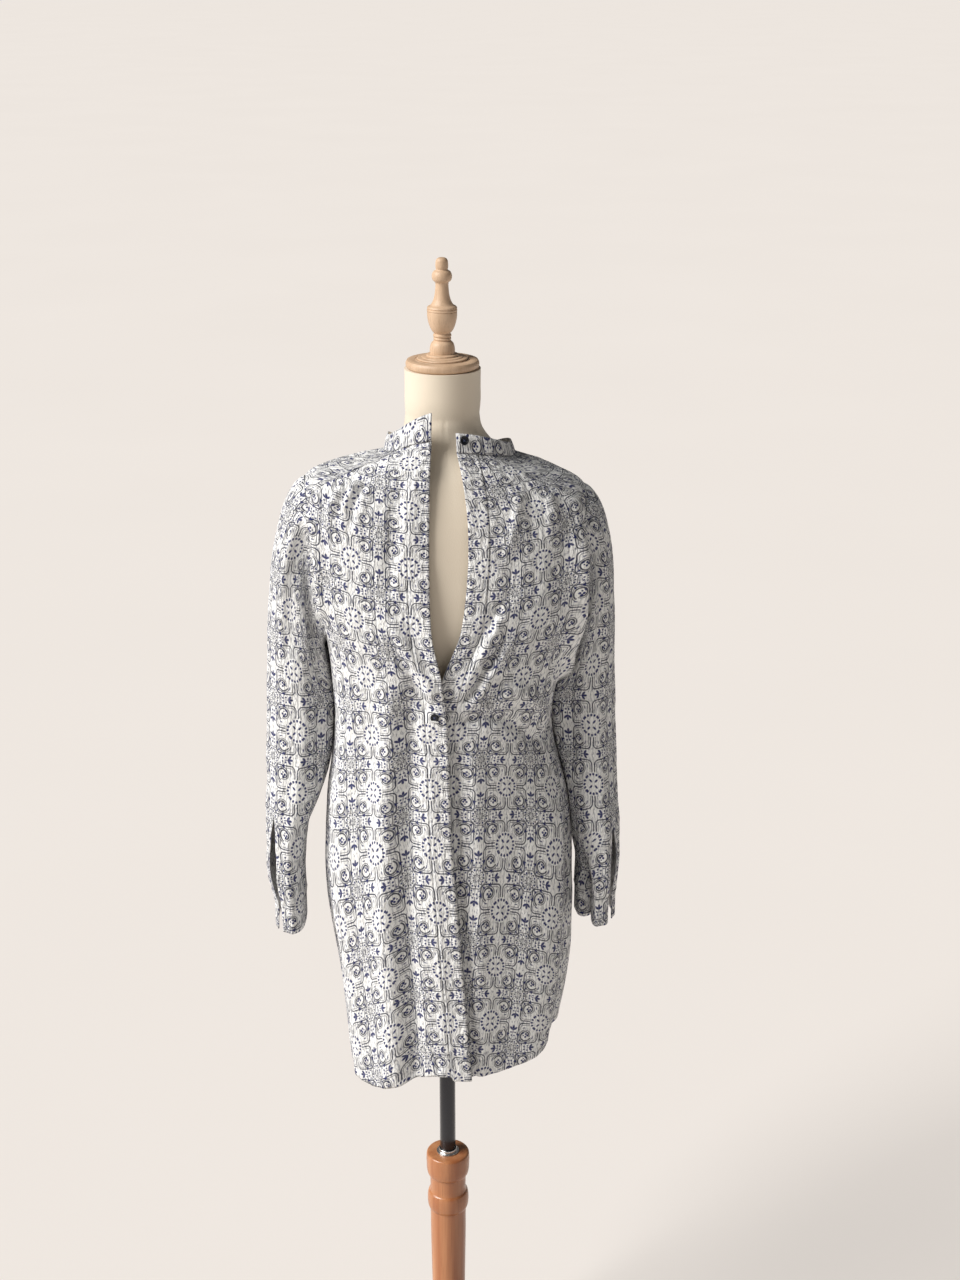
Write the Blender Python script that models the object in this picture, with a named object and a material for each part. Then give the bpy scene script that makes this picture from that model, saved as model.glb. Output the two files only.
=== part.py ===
"""A printed cotton shirt worn on a limbless dress form with a turned wooden stand.

Metres, +Z up. The origin is the middle of the base's underside. The shirt faces -Y, and +X is
the viewer's right, which is the wearer's left. The cloth is a thin wall on a body surface that
is worked out from a short table of levels; each panel is a patch of that surface between its
seams, 0.3 mm from its neighbours.
"""
import math

import bmesh
import bpy
from mathutils import Vector

# ---------------------------------------------------------------- driving sizes
CLOTH = 0.0012            # wall of the printed cloth
BAND = 0.0020             # wall of the doubled collar band and cuffs
SEAM_GAP = 0.0004         # at a seam's middle, which leaves 0.3 mm where two walls lean together
FRONT_BAND_WIDTH = 0.027  # the bands down both front edges
LAP_LIFT = 0.0030         # the upper front lies this far outside the under front
LAP_REACH = 0.070         # and comes back to the body surface over this width

COLLAR_ROWS = 2
NECK_COLUMNS = 5          # of each front, along its neckline
YOKE_ROWS = 6             # along each front yoke seam
BACK_COLUMNS = 16
BAND_COLUMNS = 2
EDGE_FADE = 4             # how quickly a panel's rows straighten away from its top and bottom
SLEEVE_COLUMNS = 24       # round the armhole: 6 on the yoke, 9 on the front, 9 on the back
YOKE_ARM = 6
PANEL_ARM = 9
YOKE_ARM_THETA = 360.0 * (YOKE_ARM / 2) / SLEEVE_COLUMNS
SIDE_ROWS = 14            # down each side seam

# The body surface, one row a level. Depths and half widths are from the form's axis. The angle
# round it is 0 at the front middle, 90 at +X, 180 at the back and -90 at -X.
BODY_COLUMNS = ("z_front_left", "z_front_right", "z_left", "z_right", "z_back",
                "left", "right", "front", "back", "square")
BODY = (
    # neckline
    (1.490, 1.466, 1.458, 1.449, 1.420, 0.074, 0.091, 0.077, 0.085, 2.0),
    # middle of the shoulder
    (1.449, 1.436, 1.447, 1.437, 1.397, 0.128, 0.135, 0.096, 0.097, 2.1),
    # shoulder tip
    (1.394, 1.385, 1.423, 1.406, 1.367, 0.179, 0.185, 0.109, 0.105, 2.2),
    # upper chest
    (1.330, 1.328, 1.364, 1.352, 1.320, 0.184, 0.190, 0.118, 0.112, 2.3),
    # bust
    (1.250, 1.250, 1.280, 1.272, 1.255, 0.175, 0.186, 0.127, 0.113, 2.4),
    # underarm
    (1.180, 1.180, 1.200, 1.192, 1.185, 0.155, 0.161, 0.128, 0.109, 2.35),
    # waist
    (1.085, 1.085, 1.085, 1.085, 1.085, 0.148, 0.144, 0.125, 0.104, 2.25),
    # high hip
    (0.965, 0.965, 0.965, 0.965, 0.965, 0.162, 0.169, 0.125, 0.110, 2.2),
    # hip
    (0.840, 0.840, 0.840, 0.840, 0.840, 0.165, 0.176, 0.126, 0.116, 2.2),
    # tail
    (0.715, 0.715, 0.710, 0.725, 0.705, 0.150, 0.174, 0.124, 0.117, 2.2),
    # hem
    (0.600, 0.592, 0.562, 0.628, 0.556, 0.138, 0.160, 0.118, 0.112, 2.2),
)
NECK, SHOULDER, TIP, CHEST, BUST, UNDERARM, WAIST, HIGH_HIP, HIP, TAIL, HEM = range(len(BODY))

# The padded form under it, in the same columns.
FORM = (
    (1.5635, 1.5635, 1.5635, 1.5635, 1.5635, 0.0485, 0.0485, 0.0485, 0.0485, 2.0),
    (1.5300, 1.5300, 1.5300, 1.5300, 1.5300, 0.0485, 0.0485, 0.0485, 0.0485, 2.0),
    (1.4900, 1.4900, 1.4860, 1.4860, 1.4800, 0.0510, 0.0510, 0.0510, 0.0500, 2.0),
    (1.4590, 1.4590, 1.4560, 1.4475, 1.4260, 0.0730, 0.0895, 0.0740, 0.0700, 2.0),
    (1.4310, 1.4310, 1.4455, 1.4355, 1.3930, 0.1275, 0.1345, 0.0920, 0.0900, 2.1),
    (1.3830, 1.3830, 1.4210, 1.4040, 1.3630, 0.1765, 0.1825, 0.1060, 0.1010, 2.2),
    (1.3280, 1.3280, 1.3610, 1.3490, 1.3200, 0.1780, 0.1820, 0.1120, 0.1060, 2.3),
    (1.2500, 1.2500, 1.2700, 1.2640, 1.2550, 0.1620, 0.1660, 0.1160, 0.1020, 2.3),
    (1.1800, 1.1800, 1.1900, 1.1850, 1.1850, 0.1420, 0.1450, 0.1120, 0.0960, 2.2),
    (1.0850, 1.0850, 1.0850, 1.0850, 1.0850, 0.1200, 0.1200, 0.0960, 0.0860, 2.1),
    (0.9800, 0.9800, 0.9800, 0.9800, 0.9800, 0.1320, 0.1320, 0.1020, 0.0960, 2.1),
    (0.9000, 0.9000, 0.9000, 0.9000, 0.9000, 0.1330, 0.1330, 0.1030, 0.0980, 2.1),
    (0.8750, 0.8750, 0.8750, 0.8750, 0.8750, 0.1180, 0.1180, 0.0890, 0.0840, 2.1),
)
FORM_SIDES = 24
FORM_STEPS = 2            # rings between two rows of the table

# Edges of the two fronts, as x at each level of the body from the neckline to the hem.
EDGE_COLUMNS = ("upper_front", "under_front")
EDGES = (
    (-0.018, 0.013),
    (-0.021, 0.020),
    (-0.023, 0.025),
    (-0.024, 0.024),
    (-0.022, 0.014),
    (-0.009, -0.012),
    (-0.002, -0.026),
    (0.001, -0.024),
    (0.009, -0.016),
    (0.018, -0.007),
    (0.027, 0.002),
)

# Top edge of the collar band, in the columns of the body.
COLLAR_TOP = ((1.522, 1.496, 1.484, 1.475, 1.442, 0.068, 0.089, 0.069, 0.078, 2.0),)

# The armhole on the body surface: its middle and its half sizes, in degrees and levels.
ARMHOLE_LEVEL = 3.45
ARMHOLE_HALF_LEVELS = 1.50
ARMHOLE_HALF_ANGLE = 29.0
YOKE_FRONT_LEFT = 52.0    # where the -X front yoke seam meets the neckline
YOKE_FRONT_RIGHT = 40.0   # and the +X one, on the lower shoulder
YOKE_FRONT_BOW = 0.10     # levels by which it bows down in its middle
YOKE_BACK_LEVEL = 2.75    # the back yoke seam at the back's middle
SIDE_SEAM_ANGLE = 90.0

# Soft folds of the body: angle and level where each starts and ends, its half width in degrees,
# and its height (negative for a trough).
BODY_FOLDS = (
    # wearer's right front, from the yoke pleats and down to the hem
    (-52, 1.2, -62, 3.2, 5.0, 0.0045),
    (-44, 1.3, -50, 3.4, 5.0, 0.0040),
    (-48, 1.2, -56, 3.0, 4.0, -0.0030),
    (-30, 4.6, -33, 10.6, 9.0, -0.0080),
    (-52, 5.0, -52, 10.6, 9.0, 0.0080),
    (-76, 6.0, -72, 10.6, 9.0, -0.0060),
    (-12, 5.4, -8, 10.6, 8.0, 0.0030),
    # wearer's left front, dragged up from the button over the bust
    (6, 5.3, 40, 3.4, 9.0, 0.0060),
    (20, 5.9, 62, 4.4, 9.0, 0.0075),
    (30, 6.4, 70, 5.4, 8.0, -0.0100),
    (46, 1.6, 50, 3.0, 5.0, 0.0030),
    (60, 1.7, 62, 3.2, 5.0, 0.0035),
    (20, 6.2, 18, 10.6, 9.0, 0.0060),
    (40, 6.2, 38, 10.6, 9.0, -0.0080),
    (60, 6.4, 60, 10.6, 9.0, 0.0085),
    (80, 6.2, 80, 10.6, 8.0, -0.0060),
    # back
    (150, 3.2, 146, 10.6, 9.0, 0.0080),
    (172, 3.2, 172, 10.6, 10.0, -0.0070),
    (196, 3.2, 198, 10.6, 9.0, 0.0085),
    (216, 3.6, 220, 10.6, 9.0, -0.0060),
    (240, 4.6, 242, 10.6, 9.0, 0.0070),
    (124, 4.4, 120, 10.6, 9.0, -0.0070),
)

# Waves of the hem's line: angle, half width in degrees and drop at the hem.
HEM_WAVES = (
    (-42, 24, 0.020),
    (30, 20, 0.006),
    (205, 30, 0.008),
)

# Sleeves hang from the armhole; rings are level from the row "elbow" down. x is outward.
# Its columns are z, x, y, half width and half depth of each ring.
SLEEVES = {
    "right": (
        (1.110, 0.1990, 0.004, 0.0390, 0.0620),
        (0.990, 0.2080, 0.006, 0.0350, 0.0590),
        (0.930, 0.2175, 0.006, 0.0270, 0.0560),
        (0.870, 0.2200, 0.004, 0.0265, 0.0520),
        (0.829, 0.2185, 0.002, 0.0265, 0.0460),
    ),
    "left": (
        (1.110, 0.1950, -0.004, 0.0350, 0.0620),
        (0.990, 0.2010, -0.004, 0.0330, 0.0590),
        (0.930, 0.2085, -0.004, 0.0295, 0.0560),
        (0.870, 0.2105, -0.006, 0.0280, 0.0520),
        (0.829, 0.2100, -0.008, 0.0275, 0.0460),
    ),
}
CUFF_HEIGHT = 0.042
CUFF_TIGHTER = 0.0015     # the cuff's rings lie inside the sleeve's line by this
SLEEVE_OUT_TOP = 0.046    # how far the sleeve runs out before it turns down, at the tip
SLEEVE_TOP_FALL = 0.38    # its slope there, down for each unit out
SLEEVE_OUT_UNDER = 0.017  # and under the arm
SLEEVE_START = 0.0009     # the sleeve starts this far inside the armhole's edge
SLEEVE_TURN_ROWS = (0.0, 0.05, 0.17, 0.34, 0.54, 0.77)
SLEEVE_DOWN_ROWS = 12
SLIT_COLUMN = 3           # 45 degrees forward of the sleeve's outer line
SLIT_ROWS = 5
SLIT_GAP = 0.0055
# Folds down a sleeve: angle round it, half width in degrees, height, and the part of its rows
# from and to, 0 at the armhole and 1 at the cuff.
SLEEVE_FOLDS = {
    "right": (
        (20, 16, 0.0035, 0.30, 1.15),
        (75, 15, -0.0040, 0.25, 1.15),
        (120, 15, 0.0030, 0.30, 1.15),
        (205, 16, 0.0030, 0.35, 1.15),
        (250, 16, -0.0040, 0.25, 1.15),
        (300, 16, 0.0035, 0.30, 1.15),
    ),
    "left": (
        (15, 15, 0.0035, 0.30, 1.15),
        (70, 15, 0.0040, 0.30, 1.15),
        (105, 15, -0.0035, 0.22, 0.80),
        (142, 17, -0.0100, 0.72, 1.25),
        (200, 16, 0.0030, 0.35, 1.15),
        (255, 16, -0.0040, 0.25, 1.15),
        (310, 16, 0.0035, 0.30, 1.15),
    ),
}

# Turned pieces of the stand, as (radius, z) from the top down.
FINIAL = (
    (0.0000, 1.7020), (0.0045, 1.7010), (0.0074, 1.6975), (0.0080, 1.6925), (0.0066, 1.6870),
    (0.0105, 1.6845), (0.0126, 1.6785), (0.0105, 1.6725), (0.0084, 1.6700), (0.0092, 1.6600),
    (0.0118, 1.6480), (0.0160, 1.6425), (0.0187, 1.6410), (0.0174, 1.6385), (0.0187, 1.6360),
    (0.0187, 1.6335), (0.0165, 1.6220), (0.0122, 1.6110), (0.0106, 1.6070), (0.0112, 1.6030),
    (0.0106, 1.5985), (0.0150, 1.5950), (0.0162, 1.5880), (0.0150, 1.5805), (0.0200, 1.5800),
    (0.0204, 1.5785), (0.0320, 1.5782), (0.0324, 1.57530), (0.0000, 1.57530),
)
CAP = (
    (0.0000, 1.5750), (0.0440, 1.5750), (0.0461, 1.5735), (0.0466, 1.5700), (0.0461, 1.5655),
    (0.0445, 1.5638), (0.0000, 1.5638),
)
POST = (
    (0.0000, 0.3920), (0.0285, 0.3920), (0.0310, 0.3900), (0.0314, 0.3860), (0.0314, 0.3620),
    (0.0300, 0.3560), (0.0268, 0.3530), (0.0262, 0.3400), (0.0268, 0.3270), (0.0296, 0.3220),
    (0.0304, 0.3110), (0.0296, 0.3000), (0.0266, 0.2950), (0.0262, 0.2600), (0.0245, 0.1400),
    (0.0250, 0.0900), (0.0290, 0.0820), (0.0300, 0.0740), (0.0290, 0.0660), (0.0262, 0.0600),
    (0.0300, 0.0400), (0.0420, 0.0223), (0.0000, 0.0223),
)
BASE = (
    (0.0000, 0.0220), (0.1350, 0.0220), (0.1440, 0.0200), (0.1490, 0.0140), (0.1500, 0.0060),
    (0.1490, 0.0000), (0.0000, 0.0000),
)
POLE_RADIUS = 0.0115
POLE_TOP = 0.8747
FERRULE_RADIUS = 0.0165
FERRULE_HEIGHT = 0.006
TURNED_SIDES = 18

BUTTON_RADIUS = 0.0058
BUTTON_THICK = 0.0024
BUTTON_SIDES = 14
FRONT_BUTTON_Z = 1.139
COLLAR_BUTTON_ANGLE = 14.5

PRINT = (0.80, 0.79, 0.76, 1.0)
NAVY = (0.05, 0.06, 0.10, 1.0)
CREAM = (0.86, 0.80, 0.70, 1.0)
PALE_WOOD = (0.72, 0.55, 0.38, 1.0)
PINE = (0.60, 0.33, 0.15, 1.0)
STEEL = (0.45, 0.46, 0.48, 1.0)


# ---------------------------------------------------------------- scene and materials
for old in list(bpy.data.objects):
    bpy.data.objects.remove(old, do_unlink=True)


def material(name, colour, roughness, metallic=0.0):
    mat = bpy.data.materials.new(name)
    mat.use_nodes = True
    shader = mat.node_tree.nodes["Principled BSDF"]
    shader.inputs["Base Color"].default_value = colour
    shader.inputs["Roughness"].default_value = roughness
    shader.inputs["Metallic"].default_value = metallic
    return mat


cloth = material("printed cotton", PRINT, 0.85)
dark = material("dark button", NAVY, 0.35)
cover = material("cream jersey", CREAM, 0.9)
pale_wood = material("pale wood", PALE_WOOD, 0.5)
pine = material("stained pine", PINE, 0.45)
steel = material("steel", STEEL, 0.25, 1.0)


def add_object(name, mesh, mat):
    obj = bpy.data.objects.new(name, mesh)
    bpy.context.collection.objects.link(obj)
    mesh.materials.append(mat)
    return obj


# ---------------------------------------------------------------- curves and surfaces
def read_table(table, column, level):
    """The column's value at a level between the table's rows, on a Catmull-Rom curve."""
    last = len(table) - 1
    level = min(max(level, 0.0), last)
    row = min(int(level), max(last - 1, 0))
    part = level - row
    v0 = table[max(row - 1, 0)][column]
    v1 = table[row][column]
    v2 = table[min(row + 1, last)][column]
    v3 = table[min(row + 2, last)][column]
    return v1 + 0.5 * part * (v2 - v0 + part * (2 * v0 - 5 * v1 + 4 * v2 - v3
                                                 + part * (3 * (v1 - v2) + v3 - v0)))


def ring_point(table, angle, level):
    """A point of a table's surface at an angle in degrees and a level."""
    value = {name: read_table(table, i, level) for i, name in enumerate(BODY_COLUMNS)}
    side = math.sin(math.radians(angle))
    ahead = math.cos(math.radians(angle))
    power = 2.0 / value["square"]
    half = value["right"] if side > 0 else value["left"]
    depth = value["front"] if ahead > 0 else value["back"]
    z_side = value["z_right"] if side > 0 else value["z_left"]
    z_front = value["z_front_right"] if side > 0 else value["z_front_left"]
    z_ahead = z_front if ahead > 0 else value["z_back"]
    x = math.copysign(half * abs(side) ** power, side)
    y = -math.copysign(depth * abs(ahead) ** power, ahead)
    return Vector((x, y, z_side * side ** 2 + z_ahead * ahead ** 2))


def smooth_step(value):
    value = min(max(value, 0.0), 1.0)
    return value * value * (3 - 2 * value)


def turn_between(a, b):
    return (a - b + 180.0) % 360.0 - 180.0


def fold_height(angle, level):
    """How far the folds move the body surface outward at a place."""
    height = 0.0
    for angle_from, level_from, angle_to, level_to, spread, rise in BODY_FOLDS:
        low, high = sorted((level_from, level_to))
        along = (level - level_from) / (level_to - level_from)
        middle = angle_from + along * (angle_to - angle_from)
        window = smooth_step((level - low) / 0.9) * smooth_step((high - level) / 0.9)
        height += rise * window * math.exp(-(turn_between(angle, middle) / spread) ** 2)
    return height


def body_point(angle, level):
    """The middle of the cloth on the body, with its folds."""
    here = ring_point(BODY, angle, level)
    for middle, spread, drop in HEM_WAVES:
        near = math.exp(-(turn_between(angle, middle) / spread) ** 2)
        here.z -= drop * near * smooth_step(level - TAIL)
    height = fold_height(angle, level)
    if height == 0.0:
        return here
    around = ring_point(BODY, angle + 0.5, level) - ring_point(BODY, angle - 0.5, level)
    down = ring_point(BODY, angle, level + 0.02) - ring_point(BODY, angle, level - 0.02)
    return here + height * down.cross(around).normalized()


def angle_at_x(level, x):
    """The angle near the front middle at which the body surface has this x."""
    half = read_table(BODY, BODY_COLUMNS.index("right" if x > 0 else "left"), level)
    power = read_table(BODY, BODY_COLUMNS.index("square"), level) / 2.0
    return math.copysign(math.degrees(math.asin((abs(x) / half) ** power)), x)


def edge_place(edge, level, inward=0.0):
    """A front edge's (angle, level), moved toward its own side by a width."""
    side = -1 if edge == "upper_front" else 1
    x = read_table(EDGES, EDGE_COLUMNS.index(edge), level)
    return angle_at_x(level, x + side * inward), level


def armhole_place(side, theta):
    """(angle, level) on the armhole. Theta is 0 at the tip, 90 in front, 180 under the arm."""
    turn = math.radians(theta)
    angle = SIDE_SEAM_ANGLE - ARMHOLE_HALF_ANGLE * math.sin(turn)
    return side * angle, ARMHOLE_LEVEL - ARMHOLE_HALF_LEVELS * math.cos(turn)


def mix(a, b, part):
    return a + (b - a) * part


def sample(place, count):
    """Count + 1 places evenly spaced by real length along a curve of places, 0 to 1."""
    steps = 160
    places = [place(i / steps) for i in range(steps + 1)]
    points = [body_point(*p) for p in places]
    lengths = [0.0]
    for a, b in zip(points, points[1:]):
        lengths.append(lengths[-1] + (b - a).length)
    result = []
    index = 0
    for i in range(count + 1):
        target = lengths[-1] * i / count
        while index < steps - 1 and lengths[index + 1] < target:
            index += 1
        part = (target - lengths[index]) / max(lengths[index + 1] - lengths[index], 1e-9)
        a, b = places[index], places[index + 1]
        result.append((mix(a[0], b[0], part), mix(a[1], b[1], part)))
    return result


def patch(top, bottom, start, end):
    """A grid of places between four edges: top and bottom run across, start and end down.

    Each row runs straight from the start to the end, and the top's and bottom's own curves fade
    out quickly away from them, so that the rows stay clear of an armhole's hollow.
    """
    columns = len(top) - 1
    rows = len(start) - 1
    grid = []
    for r in range(rows + 1):
        near_top = (1 - r / rows) ** EDGE_FADE
        near_bottom = (r / rows) ** EDGE_FADE
        line = []
        for c in range(columns + 1):
            u = c / columns
            place = []
            for k in (0, 1):
                bend_top = top[c][k] - mix(top[0][k], top[-1][k], u)
                bend_bottom = bottom[c][k] - mix(bottom[0][k], bottom[-1][k], u)
                straight = mix(start[r][k], end[r][k], u)
                place.append(straight + near_top * bend_top + near_bottom * bend_bottom)
            line.append(tuple(place))
        grid.append(line)
    return grid


# ---------------------------------------------------------------- cloth walls
def inward_of(point, before, after, inside):
    """The way into a grid from a point of its edge, square to the edge."""
    along = (after - before).normalized()
    toward = inside - point
    return (toward - along * toward.dot(along)).normalized()


def trim_edges(grid, amount):
    """Moves the four edges of a grid of points inward by an amount."""
    rows = len(grid) - 1
    columns = len(grid[0]) - 1
    moves = {}
    for r in range(rows + 1):
        for c, inside in ((0, 1), (columns, columns - 1)):
            before, after = grid[max(r - 1, 0)][c], grid[min(r + 1, rows)][c]
            move = inward_of(grid[r][c], before, after, grid[r][inside])
            moves[r, c] = moves.get((r, c), Vector()) + move
    for c in range(columns + 1):
        for r, inside in ((0, 1), (rows, rows - 1)):
            before, after = grid[r][max(c - 1, 0)], grid[r][min(c + 1, columns)]
            move = inward_of(grid[r][c], before, after, grid[inside][c])
            moves[r, c] = moves.get((r, c), Vector()) + move
    for (r, c), move in moves.items():
        grid[r][c] = grid[r][c] + move * amount
    return grid


def cloth_wall(name, grid, thickness, mat, closed_rows=0):
    """A wall of even thickness about a grid of points.

    The first closed_rows rows join their last column to their first one, as on a tube.
    """
    bm = bmesh.new()
    verts = []
    for r, line in enumerate(grid):
        made = [bm.verts.new(point) for point in (line[:-1] if r < closed_rows else line)]
        if r < closed_rows:
            made.append(made[0])
        verts.append(made)
    for upper, lower in zip(verts, verts[1:]):
        for c in range(len(upper) - 1):
            bm.faces.new((upper[c], lower[c], lower[c + 1], upper[c + 1]))
    mesh = bpy.data.meshes.new(name)
    bm.to_mesh(mesh)
    bm.free()
    mesh.shade_smooth()
    obj = add_object(name, mesh, mat)
    wall = obj.modifiers.new("wall", "SOLIDIFY")
    wall.thickness = thickness
    wall.offset = 0.0
    return obj


def lap_lift(place):
    """How far the upper front is lifted off the body surface at a place."""
    angle, level = place
    edge_x = read_table(EDGES, 0, level)
    away = abs(ring_point(BODY, angle, level).x - edge_x)
    return LAP_LIFT * smooth_step((level - 3.0) / 1.5) * smooth_step(1.25 - away / LAP_REACH)


def lay(places, lifted=False):
    """The points of a grid of places on the body surface."""
    grid = []
    for line in places:
        made = []
        for angle, level in line:
            point = body_point(angle, level)
            if lifted:
                outward = Vector((point.x * 0.5, point.y, 0.0)).normalized()
                point = point + outward * lap_lift((angle, level))
            made.append(point)
        grid.append(made)
    return grid


def panel(name, places, lifted=False):
    return cloth_wall(name, trim_edges(lay(places, lifted), SEAM_GAP / 2), CLOTH, cloth)


# ---------------------------------------------------------------- seams
def side_of(edge):
    return -1 if edge == "upper_front" else 1


def armhole_arc(side, theta_from, theta_to, count):
    step = (theta_to - theta_from) / count
    return [armhole_place(side, theta_from + i * step) for i in range(count + 1)]


def yoke_angle(side):
    return side * (YOKE_FRONT_RIGHT if side > 0 else YOKE_FRONT_LEFT)


def front_edge(edge, inward):
    """Down a front edge; beside the armhole its places near the armhole's own levels."""
    side = side_of(edge)
    arm = armhole_arc(side, YOKE_ARM_THETA, 180.0, PANEL_ARM)
    upper = []
    for r, (_, level) in enumerate(arm):
        raised = level - arm[0][1] * (1 - r / PANEL_ARM) ** 2
        upper.append(edge_place(edge, raised, inward))
    under = arm[-1][1]
    lower = sample(lambda s: edge_place(edge, mix(under, HEM, s), inward), SIDE_ROWS)
    return upper + lower[1:]


def neckline(side, edge):
    start = edge_place(edge, 0.0, FRONT_BAND_WIDTH)[0]
    return sample(lambda s: (mix(start, yoke_angle(side), s), 0.0), NECK_COLUMNS)


def yoke_front_seam(side):
    end = armhole_place(side, YOKE_ARM_THETA)
    bow = YOKE_FRONT_BOW

    def place(s):
        return mix(yoke_angle(side), end[0], s), mix(0.0, end[1], s) + bow * math.sin(math.pi * s)

    return sample(place, YOKE_ROWS)


def side_seam(side):
    top = armhole_place(side, 180.0)
    return sample(lambda s: (mix(top[0], side * SIDE_SEAM_ANGLE, s), mix(top[1], HEM, s)), SIDE_ROWS)


def back_yoke_seam():
    right = armhole_place(1, -YOKE_ARM_THETA)
    left_angle = 360.0 - right[0]

    def place(s):
        middle = math.sin(math.pi * s)
        return mix(left_angle, right[0], s), mix(right[1], YOKE_BACK_LEVEL, middle)

    return sample(place, BACK_COLUMNS)


def as_full_turn(places):
    """Places of the -X side counted on through the back, as 180 to 360 degrees."""
    return [(angle % 360.0, level) for angle, level in places]


# ---------------------------------------------------------------- body panels
def build_front(name, band_name, edge):
    side = side_of(edge)
    lifted = edge == "upper_front"
    top = neckline(side, edge) + yoke_front_seam(side)[1:]
    start = front_edge(edge, FRONT_BAND_WIDTH)
    end = armhole_arc(side, YOKE_ARM_THETA, 180.0, PANEL_ARM) + side_seam(side)[1:]
    columns = len(top) - 1
    bottom = sample(lambda s: (mix(start[-1][0], side * SIDE_SEAM_ANGLE, s), HEM), columns)
    places = patch(top, bottom, start, end)
    if side < 0:
        places = [line[::-1] for line in places]
    panel(name, places, lifted)

    outer = front_edge(edge, 0.0)
    strip = []
    for inner_place, outer_place in zip(start, outer):
        line = []
        for c in range(BAND_COLUMNS + 1):
            part = c / BAND_COLUMNS
            line.append((mix(outer_place[0], inner_place[0], part), inner_place[1]))
        strip.append(line if side > 0 else line[::-1])
    panel(band_name, strip, lifted)


def build_back():
    top = back_yoke_seam()[::-1]
    start = armhole_arc(1, -YOKE_ARM_THETA, -180.0, PANEL_ARM) + side_seam(1)[1:]
    other = armhole_arc(-1, -YOKE_ARM_THETA, -180.0, PANEL_ARM) + side_seam(-1)[1:]
    end = as_full_turn(other)
    low, high = start[-1][0], end[-1][0]
    bottom = sample(lambda s: (mix(low, high, s), HEM), BACK_COLUMNS)
    panel("back", patch(top, bottom, start, end))


def build_yoke():
    right_arm = armhole_arc(1, YOKE_ARM_THETA, -YOKE_ARM_THETA, YOKE_ARM)
    left_arm = as_full_turn(armhole_arc(-1, -YOKE_ARM_THETA, YOKE_ARM_THETA, YOKE_ARM))
    outer = right_arm + back_yoke_seam()[::-1][1:-1] + left_arm
    columns = len(outer) - 1
    inner = sample(lambda s: (mix(yoke_angle(1), 360.0 + yoke_angle(-1), s), 0.0), columns)
    start = yoke_front_seam(1)
    end = as_full_turn(yoke_front_seam(-1))
    panel("yoke", patch(inner, outer, start, end))


def build_collar():
    """The stand band, from the under front's edge round the back to the upper front's edge."""
    low = edge_place("under_front", 0.0)[0]
    high = 360.0 + edge_place("upper_front", 0.0)[0]
    columns = 2 * (BAND_COLUMNS + NECK_COLUMNS) + 2 * YOKE_ARM + BACK_COLUMNS
    around = sample(lambda s: (mix(low, high, s), 0.0), columns)
    grid = []
    for r in range(COLLAR_ROWS + 1):
        part = r / COLLAR_ROWS
        line = []
        for angle, level in around:
            foot = body_point(angle, level)
            top = ring_point(COLLAR_TOP, angle, 0.0)
            start = foot + (top - foot).normalized() * (CLOTH / 2 + SEAM_GAP)
            line.append(mix(top, start, part))
        grid.append(line)
    cloth_wall("collar_band", grid, BAND, cloth)
    return grid


# ---------------------------------------------------------------- sleeves and cuffs
def sleeve_ring(rows, side, part, tighter=0.0):
    """A level ring of the hanging part of a sleeve, from the first row (0) to the last (1)."""
    level = part * (len(rows) - 1)
    z, x, y, width, depth = (read_table(rows, k, level) for k in range(5))
    ring = []
    for c in range(SLEEVE_COLUMNS + 1):
        turn = 2 * math.pi * c / SLEEVE_COLUMNS
        out = (width - tighter) * math.cos(turn)
        ahead = (depth - tighter) * math.sin(turn)
        ring.append(Vector((side * (x + out), y - ahead, z)))
    return ring


def armhole_start(side, theta):
    """The sleeve's first point at an angle of the armhole, and the way out of the body there."""
    angle, level = armhole_place(side, theta)
    edge = body_point(angle, level)
    before = body_point(*armhole_place(side, theta - 4))
    after = body_point(*armhole_place(side, theta + 4))
    middle_angle = side * SIDE_SEAM_ANGLE
    inner = body_point(mix(angle, middle_angle, 0.08), mix(level, ARMHOLE_LEVEL, 0.08))
    around = ring_point(BODY, angle + 0.5, level) - ring_point(BODY, angle - 0.5, level)
    down = ring_point(BODY, angle, level + 0.02) - ring_point(BODY, angle, level - 0.02)
    normal = down.cross(around).normalized()
    return edge + inward_of(edge, before, after, inner) * SLEEVE_START, normal


def sleeve_fold(folds, theta, part):
    height = 0.0
    for middle, spread, rise, start, stop in folds:
        window = smooth_step((part - start) / 0.2) * smooth_step((stop - part) / 0.2)
        height += rise * window * math.exp(-(turn_between(theta, middle) / spread) ** 2)
    return height


def sleeve_grid(side, rows, folds):
    first = sleeve_ring(rows, side, 0.0)
    grid = []
    total = len(SLEEVE_TURN_ROWS) + SLEEVE_DOWN_ROWS
    for s in SLEEVE_TURN_ROWS:
        line = []
        for c in range(SLEEVE_COLUMNS + 1):
            theta = 360.0 * c / SLEEVE_COLUMNS
            start, normal = armhole_start(side, theta)
            end = first[c]
            under = smooth_step((1 - math.cos(math.radians(theta))) / 2)
            reach = mix(SLEEVE_OUT_TOP, SLEEVE_OUT_UNDER, under)
            way = mix(Vector((side, 0.0, -SLEEVE_TOP_FALL)), normal, under).normalized()
            drop = (start.z - end.z) * 0.45
            a = start + way * reach
            b = end + Vector((0, 0, drop))
            t = 1 - s
            line.append(start * t ** 3 + a * 3 * t * t * s + b * 3 * t * s * s + end * s ** 3)
        grid.append(line)
    for r in range(SLEEVE_DOWN_ROWS + 1):
        grid.append(sleeve_ring(rows, side, r / SLEEVE_DOWN_ROWS))
    for r, line in enumerate(grid):
        part = r / total
        middle = sum(line[:-1], Vector()) / SLEEVE_COLUMNS
        for c, point in enumerate(line):
            height = sleeve_fold(folds, 360.0 * c / SLEEVE_COLUMNS, part)
            outward = Vector((point.x - middle.x, point.y - middle.y, 0.0)).normalized()
            line[c] = point + outward * height
    return grid


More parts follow.
